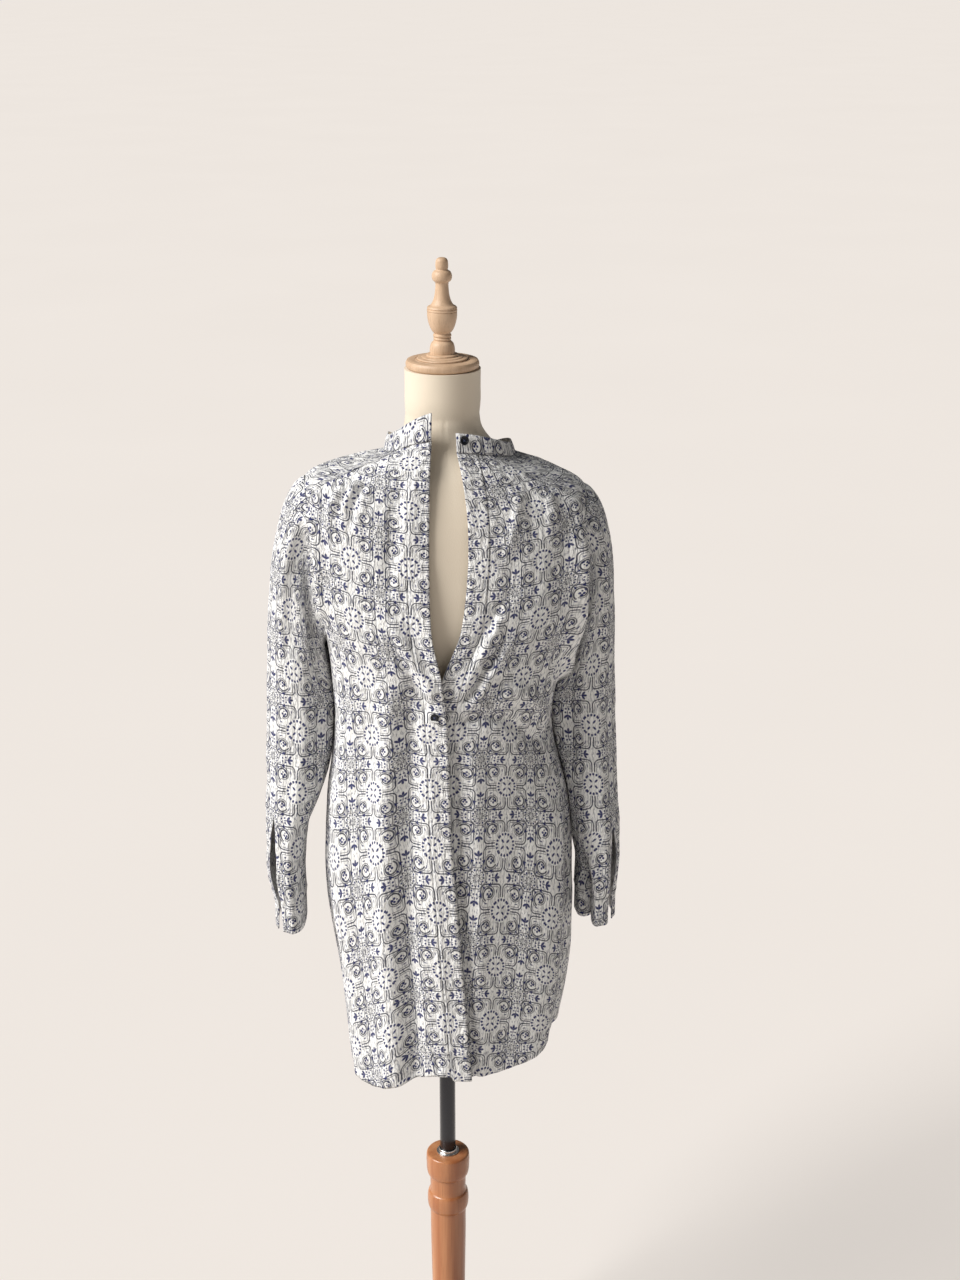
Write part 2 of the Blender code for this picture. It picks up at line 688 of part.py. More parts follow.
def open_slit(grid, side, first_row):
    """Turns each ring to start at the slit, and parts its two ends below the first row."""
    opened = []
    for r, line in enumerate(grid):
        ring = line[:-1]
        ring = ring[SLIT_COLUMN:] + ring[:SLIT_COLUMN]
        ring.append(ring[0].copy())
        if r > first_row:
            along = (ring[1] - ring[-2]).normalized()
            widen = smooth_step((r - first_row) / 2) * SLIT_GAP / 2
            ring[0] = ring[0] + along * widen
            ring[-1] = ring[-1] - along * widen
        opened.append(ring if side > 0 else ring[::-1])
    return opened


def build_sleeve(name, cuff_name, side, rows, folds):
    grid = sleeve_grid(side, rows, folds)
    slit_row = len(grid) - 1 - SLIT_ROWS
    opened = open_slit(grid, side, slit_row)
    cloth_wall(name, opened, CLOTH, cloth, closed_rows=slit_row + 1)

    last = grid[-1]
    cuff = []
    for k in range(3):
        drop = SEAM_GAP + CUFF_HEIGHT * k / 2
        middle = sum(last[:-1], Vector()) / SLEEVE_COLUMNS
        line = []
        for point in last:
            inward = (middle - point).normalized() * CUFF_TIGHTER * (1 if k else 0)
            line.append(point + inward + Vector((0, 0, -drop)))
        cuff.append(line)
    cloth_wall(cuff_name, open_slit(cuff, side, -3), BAND, cloth)


# ---------------------------------------------------------------- stand
def turned(name, profile, mat):
    """A solid turned about the form's axis from a profile of (radius, z)."""
    bm = bmesh.new()
    verts = [bm.verts.new((radius, 0.0, z)) for radius, z in profile]
    edges = [bm.edges.new(pair) for pair in zip(verts, verts[1:])]
    bmesh.ops.spin(bm, geom=verts + edges, cent=(0, 0, 0), axis=(0, 0, 1),
                   angle=2 * math.pi, steps=TURNED_SIDES, use_merge=True)
    bmesh.ops.remove_doubles(bm, verts=bm.verts, dist=1e-6)
    bmesh.ops.recalc_face_normals(bm, faces=bm.faces)
    mesh = bpy.data.meshes.new(name)
    bm.to_mesh(mesh)
    bm.free()
    mesh.shade_smooth()
    mesh.set_sharp_from_angle(angle=math.radians(40))
    return add_object(name, mesh, mat)


def build_form():
    bm = bmesh.new()
    rings = []
    count = (len(FORM) - 1) * FORM_STEPS
    for r in range(count + 1):
        level = r / FORM_STEPS
        ring = [bm.verts.new(ring_point(FORM, 360.0 * i / FORM_SIDES, level))
                for i in range(FORM_SIDES)]
        rings.append(ring)
    for upper, lower in zip(rings, rings[1:]):
        for i in range(FORM_SIDES):
            j = (i + 1) % FORM_SIDES
            bm.faces.new((upper[i], lower[i], lower[j], upper[j]))
    bm.faces.new(rings[0])
    bm.faces.new(rings[-1])
    bmesh.ops.recalc_face_normals(bm, faces=bm.faces)
    mesh = bpy.data.meshes.new("form_torso")
    bm.to_mesh(mesh)
    bm.free()
    mesh.shade_smooth()
    add_object("form_torso", mesh, cover)


def build_post():
    post = turned("post", POST, pine)
    bpy.ops.mesh.primitive_cylinder_add(vertices=TURNED_SIDES, radius=POLE_RADIUS + SEAM_GAP,
                                        depth=0.08, location=(0, 0, POST[0][1]))
    hole = bpy.context.object
    hole.name = "post_hole_cutter"
    hole.hide_render = True
    hole.display_type = "WIRE"
    cut = post.modifiers.new("hole", "BOOLEAN")
    cut.operation = "DIFFERENCE"
    cut.object = hole
    return POST[0][1] - 0.04


def build_pole(foot):
    foot += SEAM_GAP
    bpy.ops.mesh.primitive_cylinder_add(vertices=TURNED_SIDES, radius=POLE_RADIUS,
                                        depth=POLE_TOP - foot, location=(0, 0, (POLE_TOP + foot) / 2))
    pole = bpy.context.object
    pole.name = "pole"
    pole.data.materials.append(steel)
    top = POST[0][1] + SEAM_GAP
    inner = POLE_RADIUS + SEAM_GAP
    profile = ((inner, top), (inner, top + FERRULE_HEIGHT), (FERRULE_RADIUS - 0.001, top + FERRULE_HEIGHT),
               (FERRULE_RADIUS, top + FERRULE_HEIGHT - 0.001), (FERRULE_RADIUS, top), (inner, top))
    turned("pole_ferrule", profile, steel)


# ---------------------------------------------------------------- buttons
def button(name, place, outward):
    """A low round button whose back lies on a place and faces a direction."""
    bpy.ops.mesh.primitive_cylinder_add(vertices=BUTTON_SIDES, radius=BUTTON_RADIUS,
                                        depth=BUTTON_THICK)
    obj = bpy.context.object
    obj.name = name
    outward = outward.normalized()
    obj.rotation_mode = "QUATERNION"
    obj.rotation_quaternion = outward.to_track_quat("Z", "Y")
    obj.location = place + outward * (BUTTON_THICK / 2)
    obj.data.materials.append(dark)


def build_front_button():
    level = min((k * 0.01 for k in range(400, 700)),
                key=lambda k: abs(ring_point(BODY, -6.0, k).z - FRONT_BUTTON_Z))
    angle = edge_place("upper_front", level, FRONT_BAND_WIDTH / 2)[0]
    centre = body_point(angle, level)
    around = body_point(angle + 2, level) - body_point(angle - 2, level)
    down = body_point(angle, level + 0.1) - body_point(angle, level - 0.1)
    outward = down.cross(around).normalized()
    off = LAP_LIFT + CLOTH / 2 + SEAM_GAP + 0.0002
    button("button_front", centre + outward * off, outward)


def build_collar_button():
    foot = body_point(COLLAR_BUTTON_ANGLE, 0.0)
    top = ring_point(COLLAR_TOP, COLLAR_BUTTON_ANGLE, 0.0)
    around = ring_point(COLLAR_TOP, COLLAR_BUTTON_ANGLE + 2, 0.0) - ring_point(
        COLLAR_TOP, COLLAR_BUTTON_ANGLE - 2, 0.0)
    outward = (foot - top).cross(around).normalized()
    place = mix(foot, top, 0.62) + outward * (BAND / 2 + SEAM_GAP + 0.0001)
    button("button_collar", place, outward)


# ---------------------------------------------------------------- build
build_front("front_right", "placket_right", "upper_front")
build_front("front_left", "placket_left", "under_front")
build_back()
build_yoke()
build_collar()
for side_name, side in (("right", -1), ("left", 1)):
    build_sleeve(f"sleeve_{side_name}", f"cuff_{side_name}", side, SLEEVES[side_name],
                 SLEEVE_FOLDS[side_name])
build_front_button()
build_collar_button()
build_form()
turned("neck_cap", CAP, pale_wood)
turned("finial", FINIAL, pale_wood)
build_pole(build_post())
turned("base", BASE, pine)
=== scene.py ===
"""The looks of a printed cotton shirt on a limbless dress form with a turned wooden stand.

Metres, +Z up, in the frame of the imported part. The shirt faces -Y, and +X is the viewer's right.
"""
import math

import bpy
import numpy as np
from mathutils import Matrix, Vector, noise


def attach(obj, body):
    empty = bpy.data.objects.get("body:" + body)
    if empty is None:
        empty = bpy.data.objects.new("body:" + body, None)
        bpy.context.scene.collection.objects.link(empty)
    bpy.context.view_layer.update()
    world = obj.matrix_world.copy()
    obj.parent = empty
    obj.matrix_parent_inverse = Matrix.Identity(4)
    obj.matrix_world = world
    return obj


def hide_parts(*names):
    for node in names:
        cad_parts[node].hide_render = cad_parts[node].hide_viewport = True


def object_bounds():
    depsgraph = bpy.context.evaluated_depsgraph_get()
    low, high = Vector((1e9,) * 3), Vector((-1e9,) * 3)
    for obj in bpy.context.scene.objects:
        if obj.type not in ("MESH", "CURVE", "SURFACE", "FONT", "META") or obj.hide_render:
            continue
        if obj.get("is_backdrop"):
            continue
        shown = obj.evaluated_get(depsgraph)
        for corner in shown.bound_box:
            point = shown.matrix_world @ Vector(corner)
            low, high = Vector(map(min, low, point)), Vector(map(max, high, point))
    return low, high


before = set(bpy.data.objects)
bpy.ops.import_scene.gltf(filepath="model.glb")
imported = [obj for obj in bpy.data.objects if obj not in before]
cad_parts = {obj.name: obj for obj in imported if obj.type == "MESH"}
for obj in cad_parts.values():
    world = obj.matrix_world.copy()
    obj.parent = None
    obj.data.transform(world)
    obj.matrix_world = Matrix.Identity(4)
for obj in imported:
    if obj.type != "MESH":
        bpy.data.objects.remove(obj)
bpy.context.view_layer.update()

# ================================================================ the form's cover
# A firm torso without limbs, covered in cream jersey that is stretched over it and sewn down
# the front middle. The cloth's body surface is worked out here too, since both are read from
# tables of levels: depths and half widths from the form's axis, 0 degrees at the front middle.
BODY_COLUMNS = ("z_front_left", "z_front_right", "z_left", "z_right", "z_back",
                "left", "right", "front", "back", "square")
FORM = (
    (1.5635, 1.5635, 1.5635, 1.5635, 1.5635, 0.0485, 0.0485, 0.0485, 0.0485, 2.0),
    (1.5300, 1.5300, 1.5300, 1.5300, 1.5300, 0.0485, 0.0485, 0.0485, 0.0485, 2.0),
    (1.4900, 1.4900, 1.4860, 1.4860, 1.4800, 0.0510, 0.0510, 0.0510, 0.0500, 2.0),
    (1.4590, 1.4590, 1.4560, 1.4475, 1.4260, 0.0730, 0.0895, 0.0740, 0.0700, 2.0),
    (1.4310, 1.4310, 1.4455, 1.4355, 1.3930, 0.1275, 0.1345, 0.0920, 0.0900, 2.1),
    (1.3830, 1.3830, 1.4210, 1.4040, 1.3630, 0.1765, 0.1825, 0.1060, 0.1010, 2.2),
    (1.3280, 1.3280, 1.3610, 1.3490, 1.3200, 0.1780, 0.1820, 0.1120, 0.1060, 2.3),
    (1.2500, 1.2500, 1.2700, 1.2640, 1.2550, 0.1620, 0.1660, 0.1160, 0.1020, 2.3),
    (1.1800, 1.1800, 1.1900, 1.1850, 1.1850, 0.1420, 0.1450, 0.1120, 0.0960, 2.2),
    (1.0850, 1.0850, 1.0850, 1.0850, 1.0850, 0.1200, 0.1200, 0.0960, 0.0860, 2.1),
    (0.9800, 0.9800, 0.9800, 0.9800, 0.9800, 0.1320, 0.1320, 0.1020, 0.0960, 2.1),
    (0.9000, 0.9000, 0.9000, 0.9000, 0.9000, 0.1330, 0.1330, 0.1030, 0.0980, 2.1),
    (0.8750, 0.8750, 0.8750, 0.8750, 0.8750, 0.1180, 0.1180, 0.0890, 0.0840, 2.1),
)
FORM_SIDES = 120
FORM_RINGS = 140
NECK_CREASE_Z = 1.506     # a faint crease round the foot of the neck
NECK_CREASE_DEPTH = 0.0006
NECK_CREASE_HALF = 0.004
FRONT_SEAM_DEPTH = 0.0007
FRONT_SEAM_HALF = 0.0012
WELD = 1e-5               # points nearer than this are joined
SHARP_EDGE = 35.0         # degrees, past which an edge is shaded sharp
KNIT_LOOPS = (900.0, 900.0, 420.0)
CREAM = (0.80, 0.71, 0.58, 1.0)
CREAM_SHADE = (0.70, 0.60, 0.47, 1.0)


def read_table(table, name, level):
    """A column's value at levels between the table's rows, on a Catmull-Rom curve."""
    rows = np.array(table)[:, BODY_COLUMNS.index(name)]
    last = len(rows) - 1
    level = np.clip(level, 0.0, last)
    row = np.minimum(level.astype(int), max(last - 1, 0))
    part = level - row
    v0 = rows[np.maximum(row - 1, 0)]
    v1 = rows[row]
    v2 = rows[np.minimum(row + 1, last)]
    v3 = rows[np.minimum(row + 2, last)]
    return v1 + 0.5 * part * (v2 - v0 + part * (2 * v0 - 5 * v1 + 4 * v2 - v3
                                                 + part * (3 * (v1 - v2) + v3 - v0)))


def ring_point(table, angle, level):
    """Points of a table's surface at angles in degrees and levels."""
    angle, level = np.broadcast_arrays(np.asarray(angle, float), np.asarray(level, float))
    value = {name: read_table(table, name, level) for name in BODY_COLUMNS}
    side = np.sin(np.radians(angle))
    ahead = np.cos(np.radians(angle))
    power = 2.0 / value["square"]
    half = np.where(side > 0, value["right"], value["left"])
    depth = np.where(ahead > 0, value["front"], value["back"])
    z_side = np.where(side > 0, value["z_right"], value["z_left"])
    z_front = np.where(side > 0, value["z_front_right"], value["z_front_left"])
    z_ahead = np.where(ahead > 0, z_front, value["z_back"])
    x = np.sign(side) * half * np.abs(side) ** power
    y = -np.sign(ahead) * depth * np.abs(ahead) ** power
    return np.stack((x, y, z_side * side ** 2 + z_ahead * ahead ** 2), axis=-1)


def unit(vector):
    return vector / np.linalg.norm(vector, axis=-1, keepdims=True)


def surface_normal(table, angle, level):
    around = ring_point(table, angle + 0.5, level) - ring_point(table, angle - 0.5, level)
    down = ring_point(table, angle, level + 0.02) - ring_point(table, angle, level - 0.02)
    return unit(np.cross(down, around))


def smooth_step(value):
    value = np.clip(value, 0.0, 1.0)
    return value * value * (3 - 2 * value)


def deselect():
    bpy.ops.object.select_all(action="DESELECT")


def new_material(name):
    """A material with its shader and a helper that adds a sum to its nodes."""
    mat = bpy.data.materials.new(name)
    mat.use_nodes = True
    tree = mat.node_tree
    shader = tree.nodes["Principled BSDF"]

    def calc(operation, *values, clamp=False):
        node = tree.nodes.new("ShaderNodeMath")
        node.operation = operation
        node.use_clamp = clamp
        for socket, value in zip(node.inputs, values):
            if isinstance(value, (int, float)):
                socket.default_value = value
            else:
                tree.links.new(value, socket)
        return node.outputs[0]

    return mat, tree, shader, calc


def noise_of(tree, vector, scale, detail=3.0, roughness=0.5):
    node = tree.nodes.new("ShaderNodeTexNoise")
    node.inputs["Scale"].default_value = scale
    node.inputs["Detail"].default_value = detail
    node.inputs["Roughness"].default_value = roughness
    tree.links.new(vector, node.inputs["Vector"])
    return node.outputs["Fac"]


def stretched(tree, vector, scale):
    node = tree.nodes.new("ShaderNodeMapping")
    node.inputs["Scale"].default_value = scale
    tree.links.new(vector, node.inputs["Vector"])
    return node.outputs["Vector"]


def blend_colours(tree, factor, first, second):
    """A colour mixed from two by a factor; each may be a colour or a socket."""
    node = tree.nodes.new("ShaderNodeMix")
    node.data_type = "RGBA"
    if isinstance(factor, (int, float)):
        node.inputs["Factor"].default_value = factor
    else:
        tree.links.new(factor, node.inputs["Factor"])
    for socket, value in ((node.inputs[6], first), (node.inputs[7], second)):
        if isinstance(value, tuple):
            socket.default_value = value
        else:
            tree.links.new(value, socket)
    return node.outputs[2]


def bump_of(tree, height, distance, strength=1.0, below=None):
    node = tree.nodes.new("ShaderNodeBump")
    node.inputs["Distance"].default_value = distance
    node.inputs["Strength"].default_value = strength
    tree.links.new(height, node.inputs["Height"])
    if below is not None:
        tree.links.new(below, node.inputs["Normal"])
    return node.outputs["Normal"]


def rolled_sheet(name, points, mat):
    """A closed body from a grid that is laid on rings of points and joined, its two ends filled."""
    rings, around = points.shape[0] - 1, points.shape[1] - 1
    deselect()
    bpy.ops.mesh.primitive_grid_add(x_subdivisions=around, y_subdivisions=rings, size=1)
    obj = bpy.context.object
    obj.name = name
    mesh = obj.data
    mesh.name = name
    mesh.vertices.foreach_set("co", points[::-1].astype(np.float32).ravel())
    bpy.ops.object.mode_set(mode="EDIT")
    bpy.ops.mesh.select_all(action="SELECT")
    bpy.ops.mesh.remove_doubles(threshold=WELD)
    bpy.ops.mesh.select_all(action="DESELECT")
    bpy.ops.mesh.select_non_manifold(extend=False, use_boundary=True)
    bpy.ops.mesh.edge_face_add()
    bpy.ops.mesh.select_all(action="SELECT")
    bpy.ops.mesh.normals_make_consistent(inside=False)
    bpy.ops.object.mode_set(mode="OBJECT")
    bpy.ops.object.shade_smooth_by_angle(angle=math.radians(SHARP_EDGE))
    mesh.materials.append(mat)
    return obj


jersey, tree, shader, calc = new_material("cream jersey")
place = tree.nodes.new("ShaderNodeTexCoord").outputs["Object"]
soft_spots = noise_of(tree, place, 9.0, 3.0)
tree.links.new(blend_colours(tree, soft_spots, CREAM, CREAM_SHADE), shader.inputs["Base Color"])
shader.inputs["Roughness"].default_value = 0.86
shader.inputs["Sheen Weight"].default_value = 0.25
shader.inputs["Sheen Roughness"].default_value = 0.5
knit = noise_of(tree, stretched(tree, place, KNIT_LOOPS), 1.0, 1.0)
tree.links.new(bump_of(tree, knit, 0.00035, 0.5), shader.inputs["Normal"])

ring_levels = np.linspace(0.0, len(FORM) - 1.0, FORM_RINGS + 1)[:, None]
ring_angles = np.linspace(0.0, 360.0, FORM_SIDES + 1)[None, :]
torso = ring_point(FORM, ring_angles, ring_levels)
outward = unit(torso * (1.0, 1.0, 0.0))
crease = NECK_CREASE_DEPTH * np.exp(-((torso[..., 2] - NECK_CREASE_Z) / NECK_CREASE_HALF) ** 2)
front_seam = FRONT_SEAM_DEPTH * np.exp(-(torso[..., 0] / FRONT_SEAM_HALF) ** 2)
front_seam = front_seam * (torso[..., 1] < 0) * (torso[..., 2] < NECK_CREASE_Z)
torso = torso - outward * (crease + front_seam)[..., None]
form_cover = rolled_sheet("form_cover", torso, jersey)
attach(form_cover, "root")
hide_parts("form_torso")

# ================================================================ the neck cap and finial
# Pale beech turned on a lathe: a round cap with stepped rings closes the neck, and a finial with
# a bead, a grooved bowl and a foot stands on it. Sanded and lightly oiled.
CAP_PROFILE = (
    (0.0000, 1.5750), (0.0340, 1.5750), (0.0346, 1.5743), (0.0352, 1.5750), (0.0420, 1.5750),
    (0.0450, 1.5741), (0.0466, 1.5712), (0.0467, 1.5680), (0.0458, 1.5652), (0.0440, 1.5638),
    (0.0000, 1.5638),
)
FINIAL_PROFILE = (
    (0.0000, 1.7020), (0.0040, 1.7018), (0.0060, 1.7006), (0.0074, 1.6984), (0.0079, 1.6950),
    (0.0080, 1.6905), (0.0074, 1.6876), (0.0078, 1.6868), (0.0105, 1.6850), (0.0123, 1.6818),
    (0.0127, 1.6780), (0.0118, 1.6745), (0.0098, 1.6724), (0.0084, 1.6716), (0.0082, 1.6690),
    (0.0086, 1.6620), (0.0097, 1.6540), (0.0118, 1.6475), (0.0150, 1.6430), (0.0181, 1.6412),
    (0.0189, 1.6400), (0.0188, 1.6391), (0.0181, 1.6386), (0.0189, 1.6380), (0.0191, 1.6368),
    (0.0190, 1.6358), (0.0183, 1.6352), (0.0189, 1.6345), (0.0189, 1.6310), (0.0180, 1.6240),
    (0.0160, 1.6170), (0.0134, 1.6115), (0.0112, 1.6087), (0.0103, 1.6080), (0.0103, 1.6072),
    (0.0113, 1.6064), (0.0116, 1.6050), (0.0112, 1.6036), (0.0102, 1.6028), (0.0110, 1.6020),
    (0.0113, 1.6006), (0.0108, 1.5994), (0.0103, 1.5988), (0.0118, 1.5976), (0.0141, 1.5950),
    (0.0155, 1.5905), (0.0160, 1.5850), (0.0158, 1.5822), (0.0178, 1.5818), (0.0201, 1.5812),
    (0.0205, 1.5800), (0.0204, 1.5792), (0.0240, 1.5789), (0.0262, 1.5784), (0.0265, 1.5777),
    (0.0285, 1.5776), (0.0318, 1.5771), (0.0323, 1.5762), (0.0322, 1.57530), (0.0000, 1.57530),
)
TURNED_SIDES = 96
TURNED_EDGE = 32.0        # degrees, past which an edge of turned work is shaded sharp
FIBRES_FINER = (14, 5)    # the fibres than the bands, across the grain and along it
FIBRE_SHADE = 0.62
BEECH_LIGHT = (0.66, 0.47, 0.32, 1.0)
BEECH_DARK = (0.52, 0.345, 0.215, 1.0)


def eased(profile, steps=4, sharp=38.0):
    """The profile with extra points on smooth curves between its corners."""
    points = np.array(profile)
    way = np.diff(points, axis=0)
    length = np.linalg.norm(way, axis=1)
    lean = way / length[:, None]
    result = [tuple(points[0])]
    for i in range(len(way)):
        starts, ends = lean[i], lean[i]
        if i and lean[i - 1] @ lean[i] > math.cos(math.radians(sharp)):
            starts = (lean[i - 1] * length[i] + lean[i] * length[i - 1]) / (length[i - 1] + length[i])
        if i + 1 < len(way) and lean[i + 1] @ lean[i] > math.cos(math.radians(sharp)):
            ends = (lean[i + 1] * length[i] + lean[i] * length[i + 1]) / (length[i + 1] + length[i])
        for k in range(1, steps + 1):
            t = k / steps
            place = (points[i] * (2 * t ** 3 - 3 * t ** 2 + 1) + points[i + 1] * (3 * t * t - 2 * t ** 3)
                     + starts * length[i] * (t ** 3 - 2 * t * t + t)
                     + ends * length[i] * (t ** 3 - t * t))
            result.append((max(float(place[0]), 0.0), float(place[1])))
    return result


def turned(name, profile, mat, sides=TURNED_SIDES):
    """A body turned on a lathe: its profile is drawn by extruding a point, and spun round."""
    deselect()
    bpy.ops.mesh.primitive_plane_add(size=0.001, location=(0.0, 0.0, 0.0))
    obj = bpy.context.object
    obj.name = name
    obj.data.name = name
    bpy.ops.object.mode_set(mode="EDIT")
    bpy.ops.mesh.select_all(action="SELECT")
    bpy.ops.mesh.merge(type="CENTER")
    bpy.ops.transform.translate(value=(profile[0][0], 0.0, profile[0][1]))
    for (r0, z0), (r1, z1) in zip(profile, profile[1:]):
        bpy.ops.mesh.extrude_region_move(
            TRANSFORM_OT_translate={"value": (r1 - r0, 0.0, z1 - z0)})
    bpy.ops.mesh.select_all(action="SELECT")
    bpy.ops.mesh.spin(steps=sides, angle=2 * math.pi, center=(0.0, 0.0, 0.0),
                      axis=(0.0, 0.0, 1.0))
    bpy.ops.mesh.select_all(action="SELECT")
    bpy.ops.mesh.remove_doubles(threshold=WELD)
    bpy.ops.mesh.normals_make_consistent(inside=False)
    bpy.ops.object.mode_set(mode="OBJECT")
    bpy.ops.object.shade_smooth_by_angle(angle=math.radians(TURNED_EDGE))
    obj.data.materials.append(mat)
    return obj


def grained_wood(name, light, dark, streak, across, along, gloss):
    """Turned wood with its grain upright: wide bands, fine fibres and a low satin finish."""
    mat, tree, shader, calc = new_material(name)
    place = tree.nodes.new("ShaderNodeTexCoord").outputs["Object"]
    bands = noise_of(tree, stretched(tree, place, (across, across, along)), 1.0, 3.0, 0.55)
    finer, longer = FIBRES_FINER
    fibres = noise_of(tree, stretched(tree, place, (across * finer, across * finer, along * longer)),
                      1.0, 2.0)
    shown = calc("MULTIPLY_ADD", calc("SUBTRACT", bands, 0.5), streak, 0.5, clamp=True)
    colour = blend_colours(tree, shown, light, dark)
    thin = calc("MULTIPLY", calc("SUBTRACT", fibres, 0.52), 1.6, clamp=True)
    colour = blend_colours(tree, thin, colour, tuple(c * FIBRE_SHADE for c in dark[:3]) + (1.0,))
    tree.links.new(calc("MULTIPLY_ADD", fibres, 0.18, gloss), shader.inputs["Roughness"])
    tree.links.new(bump_of(tree, fibres, 0.0004, 0.25), shader.inputs["Normal"])
    return mat, tree, shader, calc, place, colour


beech, tree, shader, calc, place, colour = grained_wood(
    "pale beech", BEECH_LIGHT, BEECH_DARK, streak=2.4, across=55.0, along=7.0, gloss=0.42)
tree.links.new(colour, shader.inputs["Base Color"])
for name, profile in (("neck_cap", CAP_PROFILE), ("finial", FINIAL_PROFILE)):
    piece = turned(name + "_turned", eased(profile), beech)
    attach(piece, "root")
    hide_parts(name)

# ================================================================ the pole and its ferrule
# A dark chromed steel tube runs up from the post into the form. A bright pressed ferrule with a
# low collar sits round it on the post's top.
POLE_RADIUS = 0.0115
POLE_TOP = 0.8747
POLE_FOOT = 0.3524
FERRULE_FOOT = 0.3924
BLACK_CHROME = (0.045, 0.045, 0.050, 1.0)
BRIGHT_STEEL = (0.72, 0.71, 0.69, 1.0)

chrome, tree, shader, calc = new_material("dark chrome")
place = tree.nodes.new("ShaderNodeTexCoord").outputs["Object"]
shader.inputs["Base Color"].default_value = BLACK_CHROME
shader.inputs["Metallic"].default_value = 0.65
rubbed = noise_of(tree, stretched(tree, place, (30.0, 30.0, 8.0)), 1.0, 3.0)
tree.links.new(calc("MULTIPLY_ADD", rubbed, 0.16, 0.10), shader.inputs["Roughness"])

deselect()
bpy.ops.mesh.primitive_cylinder_add(vertices=64, radius=POLE_RADIUS, depth=POLE_TOP - POLE_FOOT,
                                    location=(0.0, 0.0, (POLE_TOP + POLE_FOOT) / 2))
pole = bpy.context.object
pole.name = "pole_tube"
bpy.ops.object.transform_apply(location=True)
bevel = pole.modifiers.new("rounded ends", "BEVEL")
bevel.width = 0.0008
bevel.segments = 2
bevel.limit_method = "ANGLE"
bpy.ops.object.modifier_apply(modifier="rounded ends")
bpy.ops.object.shade_smooth_by_angle(angle=math.radians(SHARP_EDGE))
pole.data.materials.append(chrome)
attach(pole, "root")
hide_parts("pole")

steel, tree, shader, calc = new_material("bright steel")
place = tree.nodes.new("ShaderNodeTexCoord").outputs["Object"]
shader.inputs["Base Color"].default_value = BRIGHT_STEEL
shader.inputs["Metallic"].default_value = 1.0
brushed = noise_of(tree, stretched(tree, place, (400.0, 400.0, 3000.0)), 1.0, 2.0)
tree.links.new(calc("MULTIPLY_ADD", brushed, 0.15, 0.22), shader.inputs["Roughness"])
FERRULE_PROFILE = (
    (0.0119, FERRULE_FOOT), (0.0119, FERRULE_FOOT + 0.0056), (0.0122, FERRULE_FOOT + 0.0060),
    (0.0128, FERRULE_FOOT + 0.0060), (0.0131, FERRULE_FOOT + 0.0056),
    (0.0131, FERRULE_FOOT + 0.0020), (0.0136, FERRULE_FOOT + 0.0014),
    (0.0158, FERRULE_FOOT + 0.0012), (0.0164, FERRULE_FOOT + 0.0008), (0.0164, FERRULE_FOOT),
    (0.0119, FERRULE_FOOT),
)
ferrule = turned("ferrule_pressed", eased(FERRULE_PROFILE, 2), steel)
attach(ferrule, "root")
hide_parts("pole_ferrule")

# ================================================================ the post and base
# A turned pine post, stained and varnished a warm orange brown, with a flange at its top, a bead
# below it and a knot in front. It stands on a plain round base of the same wood.
POST_PROFILE = (
    (0.0120, 0.3919), (0.0280, 0.3919), (0.0298, 0.3914), (0.0311, 0.3898), (0.0315, 0.3870),
    (0.0315, 0.3720), (0.0313, 0.3650), (0.0306, 0.3600), (0.0294, 0.3560), (0.0277, 0.3538),
    (0.0268, 0.3530), (0.0265, 0.3500), (0.0262, 0.3400), (0.0266, 0.3280), (0.0270, 0.3266),
    (0.0286, 0.3246), (0.0299, 0.3200), (0.0304, 0.3130), (0.0302, 0.3060), (0.0292, 0.2996),
    (0.0276, 0.2960), (0.0266, 0.2950), (0.0264, 0.2900), (0.0262, 0.2600), (0.0253, 0.2000),
    (0.0245, 0.1400), (0.0246, 0.1000), (0.0251, 0.0890), (0.0257, 0.0875), (0.0276, 0.0856),
    (0.0293, 0.0810), (0.0300, 0.0740), (0.0294, 0.0676), (0.0277, 0.0630), (0.0264, 0.0610),
    (0.0263, 0.0590), (0.0272, 0.0520), (0.0300, 0.0400), (0.0345, 0.0300), (0.0400, 0.0236),
    (0.0418, 0.0223), (0.0120, 0.0223),
)
BASE_PROFILE = (
    (0.0000, 0.0220), (0.1300, 0.0220), (0.1308, 0.0213), (0.1316, 0.0219), (0.1380, 0.0216),
    (0.1440, 0.0200), (0.1480, 0.0165), (0.1496, 0.0110), (0.1500, 0.0060), (0.1496, 0.0020),
    (0.1488, 0.0000), (0.0000, 0.0000),
)
PINE_LIGHT = (0.52, 0.235, 0.105, 1.0)
PINE_DARK = (0.34, 0.115, 0.042, 1.0)
KNOT = (0.22, 0.075, 0.030, 1.0)
KNOT_PLACE = (0.0090, -0.0250, 0.3700)
KNOT_RADIUS = 0.0062
KNOT_SOFT = 0.0022

pine, tree, shader, calc, place, colour = grained_wood(
    "stained pine", PINE_LIGHT, PINE_DARK, streak=3.0, across=42.0, along=2.4, gloss=0.24)
from_knot = tree.nodes.new("ShaderNodeVectorMath")
from_knot.operation = "SUBTRACT"
tree.links.new(place, from_knot.inputs[0])
from_knot.inputs[1].default_value = KNOT_PLACE
knot_length = tree.nodes.new("ShaderNodeVectorMath")
knot_length.operation = "LENGTH"
tree.links.new(stretched(tree, from_knot.outputs[0], (1.0, 1.0, 0.75)), knot_length.inputs[0])
wobbly = noise_of(tree, place, 160.0, 2.0)
knot_away = calc("MULTIPLY_ADD", wobbly, 0.003, knot_length.outputs["Value"])
knotted = calc("MULTIPLY_ADD", knot_away, -1 / KNOT_SOFT, KNOT_RADIUS / KNOT_SOFT, clamp=True)
tree.links.new(blend_colours(tree, calc("MULTIPLY", knotted, 0.85), colour, KNOT),
               shader.inputs["Base Color"])
shader.inputs["Coat Weight"].default_value = 0.15
shader.inputs["Coat Roughness"].default_value = 0.18
